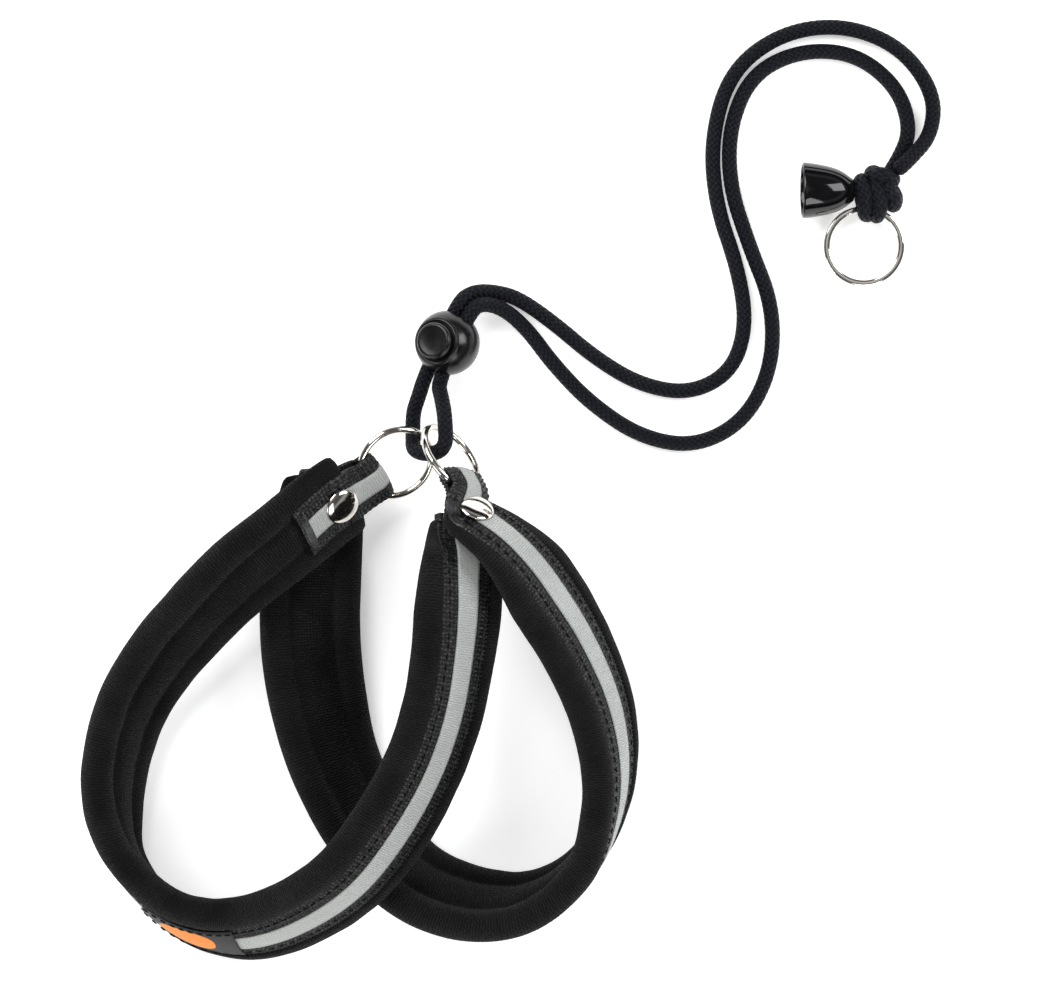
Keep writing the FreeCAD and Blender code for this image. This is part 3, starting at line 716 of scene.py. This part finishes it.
def web_section(share, distance, half, low, high, ribbed):
    """A crowned strip's section: the upper face from share 0 to a half, then the lower one."""
    upper = share < 0.5
    across = 1 - 4 * share if upper else 4 * share - 3
    x = half * max(-1.0, min(1.0, across))
    crown = -WEB_CROWN * (x / WEB_HALF) ** 2
    rim = math.sqrt(max(0.0, 1 - max(0.0, abs(across) - 0.93) ** 2 / 0.07 ** 2))
    middle, thick = (low + high) / 2, (high - low) / 2
    z = middle + (thick if upper else -thick) * rim
    if ribbed and abs(x) > TAPE_HALF + 0.3 * MM:
        row = math.sin(2 * math.pi * x / RIB_COLUMNS)
        phase = distance / RIB_PITCH + (0.25 if row > 0 else -0.25)
        rib = abs(math.sin(math.pi * phase)) * (0.6 + 0.4 * abs(row))
        z += (RIB_RISE if upper else -RIB_SINK) * (rib - 0.5) * rim
    return x, z + crown


def make_strip(name, route, half, low, high, ribbed, step, around, start=0.0, end=None):
    """A woven strip laid along part of the webbing's route."""
    finish = route.length if end is None else end
    length = finish - start

    def place(u, v):
        distance = start + u * length
        size = route.spot(distance)[3]
        x, z = web_section(v, distance, half, low, high, ribbed)
        return route.at(distance, x * size, z)

    return from_grid(name, int(length / step), around, length, 4 * half, place, filled=True)


weave, weave_tree, weave_shader = new_material("nylon_webbing", (0.008, 0.008, 0.009), 0.5,
                                                Specular_IOR_Level=0.28)
weave_place = surface_place(weave_tree)
weave_ribs = use_group(weave_tree, RIBS, weave_place, Pitch=0.00125, Loop=0.0013)
# Sparse bright spots on the rib crests are painted glints, and the dark rib valleys are painted shade; the
# same spots are also made smoother.
weave_glints = use_group(weave_tree, MOTTLE, object_place(weave_tree), Size=1700.0, Contrast=4.5)
weave_glint_and_shade_mask = math_node(weave_tree, "MULTIPLY", math_node(
    weave_tree, "POWER", weave_ribs.outputs["Height"], 3.0), weave_glints.outputs["Mask"])
weave_tree.links.new(blend_colour(weave_tree, weave_glint_and_shade_mask, (0.0006, 0.0006, 0.0008),
                                  (0.10, 0.10, 0.105)), weave_shader.inputs["Base Color"])
weave_tree.links.new(blend_value(weave_tree, weave_glints.outputs["Mask"], 0.5, 0.22),
                     weave_shader.inputs["Roughness"])
weave_yarn = node(weave_tree, "ShaderNodeTexNoise", Scale=2600.0, Detail=3.0)
weave_tree.links.new(weave_place, weave_yarn.inputs["Vector"])
bump(weave_tree, weave_shader, math_node(weave_tree, "ADD", weave_yarn.outputs["Fac"],
                                         weave_ribs.outputs["Height"]), 0.2 * MM)

grey, grey_tree, grey_shader = new_material("reflective_tape", (0.3, 0.31, 0.3), 0.5)
grey_place = surface_place(grey_tree)
grey_ribs = use_group(grey_tree, RIBS, grey_place, Pitch=0.0007, Loop=0.0005)
grey_dirt = use_group(grey_tree, MOTTLE, object_place(grey_tree), Size=90.0, Contrast=1.5)
# The tape's rib crests take the light colour and its rib valleys the dark one: painted shade, patched by
# dirt.
grey_shade_and_dirt_mask = math_node(grey_tree, "MULTIPLY", math_node(
    grey_tree, "ADD", math_node(grey_tree, "MULTIPLY", grey_ribs.outputs["Height"], 0.7), 0.35),
    math_node(grey_tree, "ADD", math_node(
        grey_tree, "MULTIPLY", grey_dirt.outputs["Mask"], 0.35), 0.7))
grey_tree.links.new(blend_colour(grey_tree, grey_shade_and_dirt_mask, (0.16, 0.168, 0.162),
                                 (0.60, 0.62, 0.60)), grey_shader.inputs["Base Color"])
grey_tree.links.new(blend_value(grey_tree, grey_dirt.outputs["Mask"], 0.42, 0.62),
                    grey_shader.inputs["Roughness"])
grey_beads = use_group(grey_tree, MOTTLE, object_place(grey_tree), Size=2200.0, Contrast=3.0)
bump(grey_tree, grey_shader, math_node(grey_tree, "ADD", grey_ribs.outputs["Height"],
                                       grey_beads.outputs["Mask"]), 0.16 * MM)

front_web = web_route(front_route, LEFT_RING, LEFT_FOLD, True)
rear_web = web_route(rear_route, RIGHT_RING, RIGHT_FOLD, False)
for strap, route in (("front", front_web), ("rear", rear_web)):
    webbing = make_strip(f"{strap}_nylon_webbing", route, WEB_HALF, -WEB_THICK / 2,
                         WEB_THICK / 2, True, WEB_STEP, 56)
    webbing.data.materials.append(weave)
    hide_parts(f"{strap}_webbing")
    tape = make_strip(f"{strap}_grey_tape", route, TAPE_HALF, WEB_THICK / 2,
                      WEB_THICK / 2 + TAPE_THICK, False, 1.5 * MM, 16)
    tape.data.materials.append(grey)
    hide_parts(f"{strap}_reflective_tape")


# ---------------------------------------------------------------- stitching and bar tacks
# Lockstitch in dark thread closes the pad's two inner grooves and holds the webbing's borders. A
# close zigzag of pale and dark thread ends each folded-back tail.
STITCH_PITCH = 3.1 * MM
STITCH_LENGTH = 2.3 * MM
THREAD = 0.27 * MM
GROOVE = 6.3 * MM


def stitch_row(bm, route, side, rise, start, end):
    """Single stitches in a row; rise gives how high the thread lies at a distance."""
    distance = start
    while distance < end:
        middle = route.at(distance, side, rise(distance))
        ahead = route.at(distance + 0.4 * STITCH_PITCH, side, rise(distance))
        turn = (ahead - middle).to_track_quat("Y", "Z").to_matrix().to_4x4()
        shape = Matrix.Diagonal((THREAD, STITCH_LENGTH / 2, THREAD, 1.0))
        bmesh.ops.create_uvsphere(bm, u_segments=6, v_segments=5, radius=1.0,
                                  matrix=Matrix.Translation(middle) @ turn @ shape)
        distance += STITCH_PITCH


def thread_finish(name, dark, light):
    material, tree, shader = new_material(name, light, 0.6, Specular_IOR_Level=0.15)
    ply = node(tree, "ShaderNodeTexWave", Scale=900.0, Distortion=1.5)
    tree.links.new(object_place(tree), ply.inputs["Vector"])
    lint = use_group(tree, MOTTLE, object_place(tree), Size=500.0, Contrast=2.0)
    # The ply's raised turns take the light colour and the grooves between them the dark one: painted
    # shade, patched by lint.
    mask = math_node(tree, "MULTIPLY", ply.outputs["Fac"], lint.outputs["Mask"])
    tree.links.new(blend_colour(tree, mask, dark, light), shader.inputs["Base Color"])
    tree.links.new(blend_value(tree, lint.outputs["Mask"], 0.7, 0.45),
                   shader.inputs["Roughness"])
    bump(tree, shader, ply.outputs["Fac"], 0.08 * MM)
    return material


DARK_THREAD = thread_finish("dark_thread", (0.001, 0.001, 0.0012), (0.008, 0.008, 0.009))
PALE_THREAD = thread_finish("pale_thread", (0.01, 0.01, 0.01), (0.22, 0.23, 0.22))

for strap, route in (("front", front_route), ("rear", rear_route)):
    seam = bmesh.new()
    for side in (-GROOVE, GROOVE):
        stitch_row(seam, route, side, lambda d, r=route: -0.29 * r.spot(d)[3], 6 * MM,
                   route.length - 6 * MM)
    seam_piece = finish_piece(f"{strap}_groove_stitches", seam)
    seam_piece.data.materials.append(DARK_THREAD)
for strap, route in (("front", front_web), ("rear", rear_web)):
    seam = bmesh.new()
    for side in (-6.4 * MM, 6.4 * MM):
        stitch_row(seam, route, side, lambda d: 0.42 * MM, 4 * MM,
                   route.length - TAIL - 24 * MM)
    seam_piece = finish_piece(f"{strap}_border_stitches", seam)
    seam_piece.data.materials.append(DARK_THREAD)


def zigzag(name, route, start, end, half, height, turns, radius, material):
    """A close zigzag of thread across the strip, laid as one tube."""
    points = []
    for step in range(turns + 1):
        distance = start + (end - start) * step / turns
        points.append(route.at(distance, half if step % 2 else -half, height))
        points.append(route.at(distance, 0.0, height + 0.15 * MM))
    tack = rolling_route(points)

    def place(u, v):
        point, across, outward, size = tack.spot(u * tack.length)
        angle = 2 * math.pi * v
        return point + (across * math.cos(angle) + outward * math.sin(angle)) * radius

    piece = from_grid(name, len(points) * 3, 7, tack.length, 2 * math.pi * radius, place,
                      filled=True)
    piece.data.materials.append(material)
    return piece


for strap, route in (("front", front_web), ("rear", rear_web)):
    tail_end = route.length
    tack = zigzag(f"{strap}_tail_bar_tack", route, tail_end - 2.6 * MM, tail_end - 0.6 * MM,
                  7.6 * MM, WEB_THICK / 2 + TAPE_THICK, 11, 0.21 * MM, PALE_THREAD)
    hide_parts(f"{strap}_bar_tack")
    second = zigzag(f"{strap}_free_end_tack", route, 0.8 * MM, 2.6 * MM, 7.6 * MM,
                    WEB_THICK / 2 + TAPE_THICK, 14, 0.24 * MM, DARK_THREAD)

# The cut ends of the webbing are bound with a folded strip of the same black weave.
for strap, route in (("front", front_web), ("rear", rear_web)):
    for place_name, start, end in (("tail", route.length - 3.0 * MM, route.length),
                                   ("free", 0.0, 3.2 * MM)):
        binding = make_strip(f"{strap}_{place_name}_binding", route, 9.3 * MM,
                             -WEB_THICK / 2 - 0.3 * MM, WEB_THICK / 2 + 0.4 * MM, True,
                             0.4 * MM, 30, start, end)
        binding.data.materials.append(weave)


# ---------------------------------------------------------------- woven label
# A folded woven label is sewn over the webbing at the lowest part of the front strap. Its face is
# dark and carries one plain orange oval.
LABEL_FROM_LEFT = 0.168        # its middle, along the front pad from the left rivet
LABEL_LENGTH = 31.0 * MM
LABEL_HALF = 8.0 * MM


def nearest_along(route, point):
    """How far along the route its nearest point to this one lies."""
    number = min(range(len(route.points)), key=lambda n: (route.points[n] - point).length)
    return route.reach[number]


label_middle = nearest_along(front_web, front_route.at(LABEL_FROM_LEFT, 0.0, 4.0 * MM))
label_start, label_end = label_middle - LABEL_LENGTH / 2, label_middle + LABEL_LENGTH / 2
label = make_strip("woven_label_patch", front_web, LABEL_HALF, WEB_THICK / 2 + 0.30 * MM,
                   WEB_THICK / 2 + 0.75 * MM, False, 0.8 * MM, 24, label_start, label_end)
patch, patch_tree, patch_shader = new_material("woven_label", (0.012, 0.012, 0.014), 0.7)
patch_place = surface_place(patch_tree)
patch_weave = use_group(patch_tree, RIBS, patch_place, Pitch=0.0005, Loop=0.0005)
patch_parts = patch_tree.nodes.new("ShaderNodeSeparateXYZ")
patch_tree.links.new(patch_place, patch_parts.inputs[0])
label_long = math_node(patch_tree, "DIVIDE", math_node(
    patch_tree, "SUBTRACT", patch_parts.outputs["X"], LABEL_LENGTH / 2), 0.0088)
label_wide = math_node(patch_tree, "DIVIDE", math_node(
    patch_tree, "SUBTRACT", patch_parts.outputs["Y"], LABEL_HALF), 0.0060)
label_oval = math_node(patch_tree, "ADD", math_node(patch_tree, "POWER", math_node(
    patch_tree, "ABSOLUTE", label_long), 2.4), math_node(patch_tree, "POWER", math_node(
        patch_tree, "ABSOLUTE", label_wide), 2.4))
label_mark = math_node(patch_tree, "LESS_THAN", label_oval, 1.0)
# Both the dark face and the orange oval are lighter on the weave's crests and darker in its valleys:
# painted shade.
patch_dark = blend_colour(patch_tree, patch_weave.outputs["Height"], (0.006, 0.006, 0.007),
                          (0.025, 0.025, 0.028))
patch_mix = patch_tree.nodes.new("ShaderNodeMix")
patch_mix.data_type = "RGBA"
patch_tree.links.new(label_mark, patch_mix.inputs["Factor"])
patch_tree.links.new(patch_dark, patch_mix.inputs[6])
patch_tree.links.new(blend_colour(patch_tree, patch_weave.outputs["Height"],
                                  (0.62, 0.16, 0.01), (0.92, 0.30, 0.03)), patch_mix.inputs[7])
patch_tree.links.new(patch_mix.outputs[2], patch_shader.inputs["Base Color"])
patch_tree.links.new(blend_value(patch_tree, patch_weave.outputs["Height"], 0.8, 0.6),
                     patch_shader.inputs["Roughness"])
bump(patch_tree, patch_shader, patch_weave.outputs["Height"], 0.06 * MM)
label.data.materials.append(patch)
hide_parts("woven_label")

label_seam = bmesh.new()
for side in (-LABEL_HALF + 0.9 * MM, LABEL_HALF - 0.9 * MM):
    stitch_row(label_seam, front_web, side, lambda d: WEB_THICK / 2 + 0.55 * MM,
               label_start + 1.5 * MM, label_end - 1.5 * MM)
label_stitches = finish_piece("label_stitches", label_seam)
label_stitches.data.materials.append(DARK_THREAD)


# ---------------------------------------------------------------- rivets
# Double-cap rivets of nickel-plated brass, 11 mm across, set through both straps. Each cap is a
# low dome rolled under at its rim.
CAP_RADIUS = 5.5 * MM
CAP_HEIGHT = 1.7 * MM
POST_RADIUS = 1.9 * MM
LEFT_PITCH = 6.6 * MM
RIGHT_PITCH = 9.3 * MM


def spun(name, profile, place, steps=64, body="harness", levels=1):
    """A profile of radius and height, spun about Z and put in its place."""
    bm = bmesh.new()
    verts = [bm.verts.new((radius, 0.0, height)) for radius, height in profile]
    edges = [bm.edges.new(pair) for pair in zip(verts, verts[1:])]
    bmesh.ops.spin(bm, geom=verts + edges, cent=(0, 0, 0), axis=(0, 0, 1),
                   angle=2 * math.pi, steps=steps, use_merge=True)
    bmesh.ops.remove_doubles(bm, verts=bm.verts, dist=2e-6)
    bmesh.ops.recalc_face_normals(bm, faces=bm.faces)
    bmesh.ops.transform(bm, matrix=place, verts=bm.verts)
    piece = finish_piece(name, bm, body)
    if levels:
        rounding = piece.modifiers.new("rounding", "SUBSURF")
        rounding.levels = rounding.render_levels = levels
    return piece


def facing(place, axis, side=Vector((0, 1, 0))):
    """The matrix that takes local Z to the axis, local Y near the side, at a place."""
    up = Vector(axis).normalized()
    across = Vector(side).cross(up).normalized()
    turn = Matrix((across, up.cross(across), up)).transposed().to_4x4()
    return Matrix.Translation(place) @ turn


def metal_finish(name, dark, light, roughness, scratch):
    """Bright plate with faint rubbing marks and a little tarnish."""
    material, tree, shader = new_material(name, light, roughness, 1.0)
    place = object_place(tree)
    tarnish = use_group(tree, MOTTLE, place, Size=160.0, Contrast=1.4)
    stretch = node(tree, "ShaderNodeMapping")
    stretch.inputs["Scale"].default_value = (900.0, 260.0, 2200.0)
    tree.links.new(place, stretch.inputs["Vector"])
    rub = node(tree, "ShaderNodeTexNoise", Scale=1.0, Detail=3.0)
    tree.links.new(stretch.outputs["Vector"], rub.inputs["Vector"])
    tree.links.new(blend_colour(tree, tarnish.outputs["Mask"], dark, light),
                   shader.inputs["Base Color"])
    tree.links.new(blend_value(tree, rub.outputs["Fac"], roughness * 0.6, roughness * 1.6),
                   shader.inputs["Roughness"])
    bump(tree, shader, rub.outputs["Fac"], scratch)
    return material


NICKEL = metal_finish("nickel_plate", (0.58, 0.55, 0.50), (0.80, 0.77, 0.72), 0.09, 0.004 * MM)
CAP_PROFILE = [(0.0, CAP_HEIGHT), (0.30 * CAP_RADIUS, 0.985 * CAP_HEIGHT),
               (0.60 * CAP_RADIUS, 0.88 * CAP_HEIGHT), (0.84 * CAP_RADIUS, 0.66 * CAP_HEIGHT),
               (0.97 * CAP_RADIUS, 0.40 * CAP_HEIGHT), (CAP_RADIUS, 0.20 * CAP_HEIGHT),
               (0.97 * CAP_RADIUS, 0.04 * CAP_HEIGHT), (0.90 * CAP_RADIUS, 0.0),
               (0.5 * CAP_RADIUS, 0.02 * CAP_HEIGHT)]


def rivet(side, base, down, pitch, upper, lower):
    """Both caps and the post of one rivet; down points from the upper pad to the lower one."""
    head = CAP_PROFILE + [(POST_RADIUS, 0.0), (POST_RADIUS, -(upper + pitch) * 0.8),
                          (0.0, -(upper + pitch) * 0.8)]
    top = spun(f"{side}_rivet_head", head, facing(base - down * upper, -down))
    foot = CAP_PROFILE + [(POST_RADIUS * 0.9, 0.0), (POST_RADIUS * 0.9, -(lower + pitch * 0.1)),
                          (0.0, -(lower + pitch * 0.1))]
    cap = spun(f"{side}_rivet_foot", foot, facing(base + down * (pitch + lower), down))
    for piece, cad_node in ((top, f"{side}_rivet"), (cap, f"{side}_rivet_cap")):
        piece.data.materials.append(NICKEL)
        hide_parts(cad_node)


left_base = Vector(FRONT_STRAP[1][:3])
left_down = front_route.spot((left_base - Vector(FRONT_STRAP[0][:3])).length)[2]
rivet("left", left_base, left_down, LEFT_PITCH, 3.9 * MM, 3.75 * MM)
right_base = Vector(REAR_STRAP[-2][:3])
right_up = rear_route.spot(rear_route.length
                           - (right_base - Vector(REAR_STRAP[-1][:3])).length)[2]
rivet("right", right_base, -right_up, RIGHT_PITCH, 3.75 * MM, 2.4 * MM)


# ---------------------------------------------------------------- welded rings
# Round 2.2 mm wire rings, 24 mm across outside, butt welded and nickel plated. The weld leaves a
# slight swelling, which sits inside the webbing's fold.
RING_RADIUS = 10.9 * MM
RING_WIRE = 1.1 * MM


def welded_ring(side, ring, fold):
    centre, axis = ring
    axis = axis.normalized()
    inward = (-fold - axis * axis.dot(-fold)).normalized()
    place_matrix = facing(centre, axis, inward)

    def place(u, v):
        angle, round_angle = 2 * math.pi * u, 2 * math.pi * v
        from_weld = abs(math.remainder(angle - math.pi / 2, 2 * math.pi)) * RING_RADIUS
        wire = RING_WIRE * (1 + 0.05 * math.exp(-(from_weld / (0.8 * MM)) ** 2))
        reach = RING_RADIUS + wire * math.cos(round_angle)
        return place_matrix @ Vector((reach * math.cos(angle), reach * math.sin(angle),
                                      wire * math.sin(round_angle)))

    piece = from_grid(f"{side}_welded_ring", 160, 28, 2 * math.pi * RING_RADIUS,
                      2 * math.pi * RING_WIRE, place, closed_long=True, body=f"{side}_ring")
    piece.data.materials.append(NICKEL)
    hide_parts(f"{side}_ring")


welded_ring("left", LEFT_RING, LEFT_FOLD)
welded_ring("right", RIGHT_RING, RIGHT_FOLD)


# ---------------------------------------------------------------- ball cord lock
# A moulded ball with a collar. Both strands pass through it, and a sprung button in the collar
# grips them. The button's face is slightly dished.
LOCK_CENTRE = Vector((0.0253, 0.1039, 0.00965))
LOCK_AXIS = Vector((-0.41, 0.03, 0.912))
LOCK_CORD = Vector((0.41, 0.895, 0.157))
BUTTON_RADIUS = 5.5 * MM
BUTTON_TOP = 10.4 * MM
BUTTON_LOW = 5.3 * MM


def plastic_finish(name, colour, low, high, grain):
    material, tree, shader = new_material(name, colour, high, Specular_IOR_Level=0.4)
    place = object_place(tree)
    wear = use_group(tree, MOTTLE, place, Size=220.0, Contrast=1.8)
    fine = node(tree, "ShaderNodeTexNoise", Scale=3200.0, Detail=2.0)
    tree.links.new(place, fine.inputs["Vector"])
    tree.links.new(blend_colour(tree, wear.outputs["Mask"], colour,
                                tuple(1.8 * part + 0.001 for part in colour)),
                   shader.inputs["Base Color"])
    tree.links.new(blend_value(tree, wear.outputs["Mask"], low, high),
                   shader.inputs["Roughness"])
    bump(tree, shader, fine.outputs["Fac"], grain)
    return material


SATIN = plastic_finish("satin_black_plastic", (0.002, 0.002, 0.0025), 0.16, 0.3, 0.02 * MM)
GLOSS = plastic_finish("polished_black_plastic", (0.002, 0.002, 0.0025), 0.04, 0.1, 0.003 * MM)

lock_place = facing(LOCK_CENTRE, LOCK_AXIS, LOCK_CORD)
button_profile = [(0.0, BUTTON_TOP - 0.35 * MM), (0.5 * BUTTON_RADIUS, BUTTON_TOP - 0.28 * MM),
                  (0.74 * BUTTON_RADIUS, BUTTON_TOP - 0.1 * MM),
                  (0.84 * BUTTON_RADIUS, BUTTON_TOP), (0.94 * BUTTON_RADIUS, BUTTON_TOP - 0.2 * MM),
                  (BUTTON_RADIUS, BUTTON_TOP - 0.8 * MM),
                  (BUTTON_RADIUS, BUTTON_TOP - 2.5 * MM), (BUTTON_RADIUS, BUTTON_LOW + 0.2 * MM),
                  (0.95 * BUTTON_RADIUS, BUTTON_LOW), (0.0, BUTTON_LOW)]
button = spun("lock_button_cap", button_profile, lock_place, body="lock_button")
button.data.materials.append(SATIN)
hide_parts("cord_lock_button")

collar_profile = [(5.75 * MM, 7.4 * MM), (6.0 * MM, 7.95 * MM), (6.4 * MM, 8.1 * MM),
                  (6.85 * MM, 7.9 * MM), (7.05 * MM, 7.3 * MM), (7.05 * MM, 6.6 * MM)]
collar = spun("lock_collar_bead", collar_profile + [(6.4 * MM, 6.4 * MM), (5.75 * MM, 6.8 * MM),
                                                   (5.75 * MM, 7.4 * MM)],
              lock_place, body="cord_lock")
collar.data.materials.append(SATIN)

SPRING_STEEL = metal_finish("spring_wire", (0.45, 0.45, 0.46), (0.62, 0.62, 0.63), 0.3,
                            0.01 * MM)
for cad_node, finish in (("cord_lock_body", SATIN), ("cord_lock_spring", SPRING_STEEL)):
    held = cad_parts[cad_node].data.materials
    held.clear()
    held.append(finish)


# ---------------------------------------------------------------- knot
# Both cord ends are tied together in one overhand knot, pulled tight: two turns lie side by side
# over the split ring, with two smaller ones behind them.
KNOT_CENTRE = Vector((0.1532, 0.1488, 0.0072))
KNOT_TURNS = [
    # from the knot's middle, the way the turn faces, half its length and half its height, in mm
    ((-3.6, -1.5, 0.0), (0.98, 0.14, 0.05), 4.9, 3.9),
    ((0.1, -1.7, 0.1), (0.99, 0.04, -0.05), 5.0, 4.1),
    ((4.2, 0.2, -0.2), (0.93, 0.30, 0.20), 3.7, 3.6),
    ((1.6, 4.7, 0.6), (0.25, 0.95, 0.10), 3.0, 3.2),
]
KNOT_CORD = 2.5 * MM           # the cord bulges a little where the knot squeezes it


def knot_turn(number, offset, axis, half_long, half_high):
    """One closed turn of cord within the knot."""
    side = (0, 1, 0) if abs(axis[0]) > abs(axis[1]) else (1, 0, 0)
    turn = facing(KNOT_CENTRE + Vector(offset) * MM, axis, side)
    points = []
    for step in range(49):
        angle = 2 * math.pi * step / 48
        wobble = 0.35 * math.sin(3 * angle + number)
        points.append(turn @ Vector((half_high * MM * math.sin(angle),
                                     half_long * MM * math.cos(angle), wobble * MM)))
    return rolling_route(points, closed=True)


knot_pieces = []
for number, (offset, axis, half_long, half_high) in enumerate(KNOT_TURNS):
    turn_piece = cord_tube(f"knot_turn_{number + 1}",
                           knot_turn(number, offset, axis, half_long, half_high),
                           KNOT_CORD, CORD_STEP, CORD_SIDES, closed=True)
    knot_pieces.append(turn_piece)
tail_route = rolling_route([KNOT_CENTRE + Vector(place) * MM for place in (
    (0.5, -0.6, -0.5), (-3.0, 0.0, 0.8), (-5.6, 0.5, 1.4), (-8.0, 0.6, 1.5), (-10.4, 0.6, 1.5))])
knot_pieces.append(cord_tube("knot_tail", tail_route, CORD_RADIUS * 0.96, CORD_STEP, CORD_SIDES))
core_route = rolling_route([KNOT_CENTRE + Vector(place) * MM for place in (
    (-4.5, -1.0, 0.0), (-1.5, -0.6, 0.3), (1.5, 0.4, 0.2), (5.0, 0.0, -0.2))])
knot_pieces.append(cord_tube("knot_core", core_route, CORD_RADIUS * 1.5, CORD_STEP,
                             CORD_SIDES))
for piece in knot_pieces:
    piece.data.materials.append(CORD_BLACK)
    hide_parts("cord_knot", "cord_end_knot")


# ---------------------------------------------------------------- split ring
# A flat split ring of spring wire, 24 mm across: two turns lie on each other and step over at one
# place. The knot holds it.
SPLIT_CENTRE = Vector((0.1498, 0.1332, 0.0029))
SPLIT_AXIS = Vector((0.0, -0.12, 1.0))
SPLIT_RADIUS = 11.15 * MM
SPLIT_WIDE = 0.95 * MM
SPLIT_HIGH = 0.58 * MM
STEP_LENGTH = 0.75             # radians over which the wire climbs to its upper turn
split_place = facing(SPLIT_CENTRE, SPLIT_AXIS, Vector((-0.91, -0.4, 0.0)))


def split_wire(u, v):
    angle = u * (4 * math.pi - 1.1 * STEP_LENGTH)
    climb = min(1.0, max(0.0, (angle - 2 * math.pi + STEP_LENGTH) / STEP_LENGTH))
    climb = climb * climb * (3 - 2 * climb)
    from_end = min(u, 1 - u) * 4 * math.pi * SPLIT_RADIUS
    closing = math.sqrt(max(0.03, 1 - max(0.0, 1 - from_end / (0.5 * MM)) ** 2))
    turn = 2 * math.pi * v
    wide = math.copysign(abs(math.cos(turn)) ** 0.8, math.cos(turn)) * SPLIT_WIDE * closing
    high = math.copysign(abs(math.sin(turn)) ** 0.8, math.sin(turn)) * SPLIT_HIGH * closing
    rise = (2 * climb - 1) * 0.61 * MM + high
    reach = SPLIT_RADIUS + wide
    return split_place @ Vector((reach * math.cos(angle), reach * math.sin(angle), rise))


split_coil = from_grid("split_ring_coil", 300, 20, 4 * math.pi * SPLIT_RADIUS,
                       4 * (SPLIT_WIDE + SPLIT_HIGH), split_wire, filled=True,
                       body="split_ring")
split_coil.data.materials.append(NICKEL)
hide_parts("split_ring")


# ---------------------------------------------------------------- bell end
# A polished plastic bell closes the cord's ends. Its wide mouth holds a flat plug, and the tail
# of the knot runs into its neck.
BELL_NECK = Vector((0.1450, 0.1494, 0.0087))
BELL_PROFILE = [(2.4, -1.2), (2.9, -1.35), (3.3, -1.1), (3.9, -0.2), (5.0, 1.1), (6.1, 2.9),
                (7.1, 5.6), (7.8, 9.0), (8.3, 12.3), (8.45, 13.6), (8.2, 14.15), (7.8, 14.1),
                (7.5, 13.8), (7.2, 12.0), (6.6, 8.4), (4.4, 3.6), (2.4, 1.5), (2.4, -1.2)]
bell_place = facing(BELL_NECK, Vector((-1.0, 0.0, 0.0)), Vector((0.0, 1.0, 0.0)))
bell = spun("bell_shell", [(radius * MM, height * MM) for radius, height in BELL_PROFILE],
            bell_place, steps=72)
bell.data.materials.append(GLOSS)
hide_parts("bell_end")
plug_profile = [(0.0, 12.4), (4.0, 12.4), (6.2, 12.5), (6.9, 12.3), (7.1, 11.8), (6.9, 10.4),
                (6.5, 9.4), (0.0, 9.4)]
plug = spun("bell_mouth_plug", [(radius * MM, height * MM) for radius, height in plug_profile],
            bell_place)
plug.data.materials.append(SATIN)
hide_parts("bell_plug")


# ---------------------------------------------------------------- the cord's length
# The whole drawcord is one cord that ends in the knot, with the lock, the split ring and the bell on it.
# Its length is summed along its line.
cord_length = sum((after - before).length
                  for before, after in zip(cord_points, cord_points[1:]))
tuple(cord_points[0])
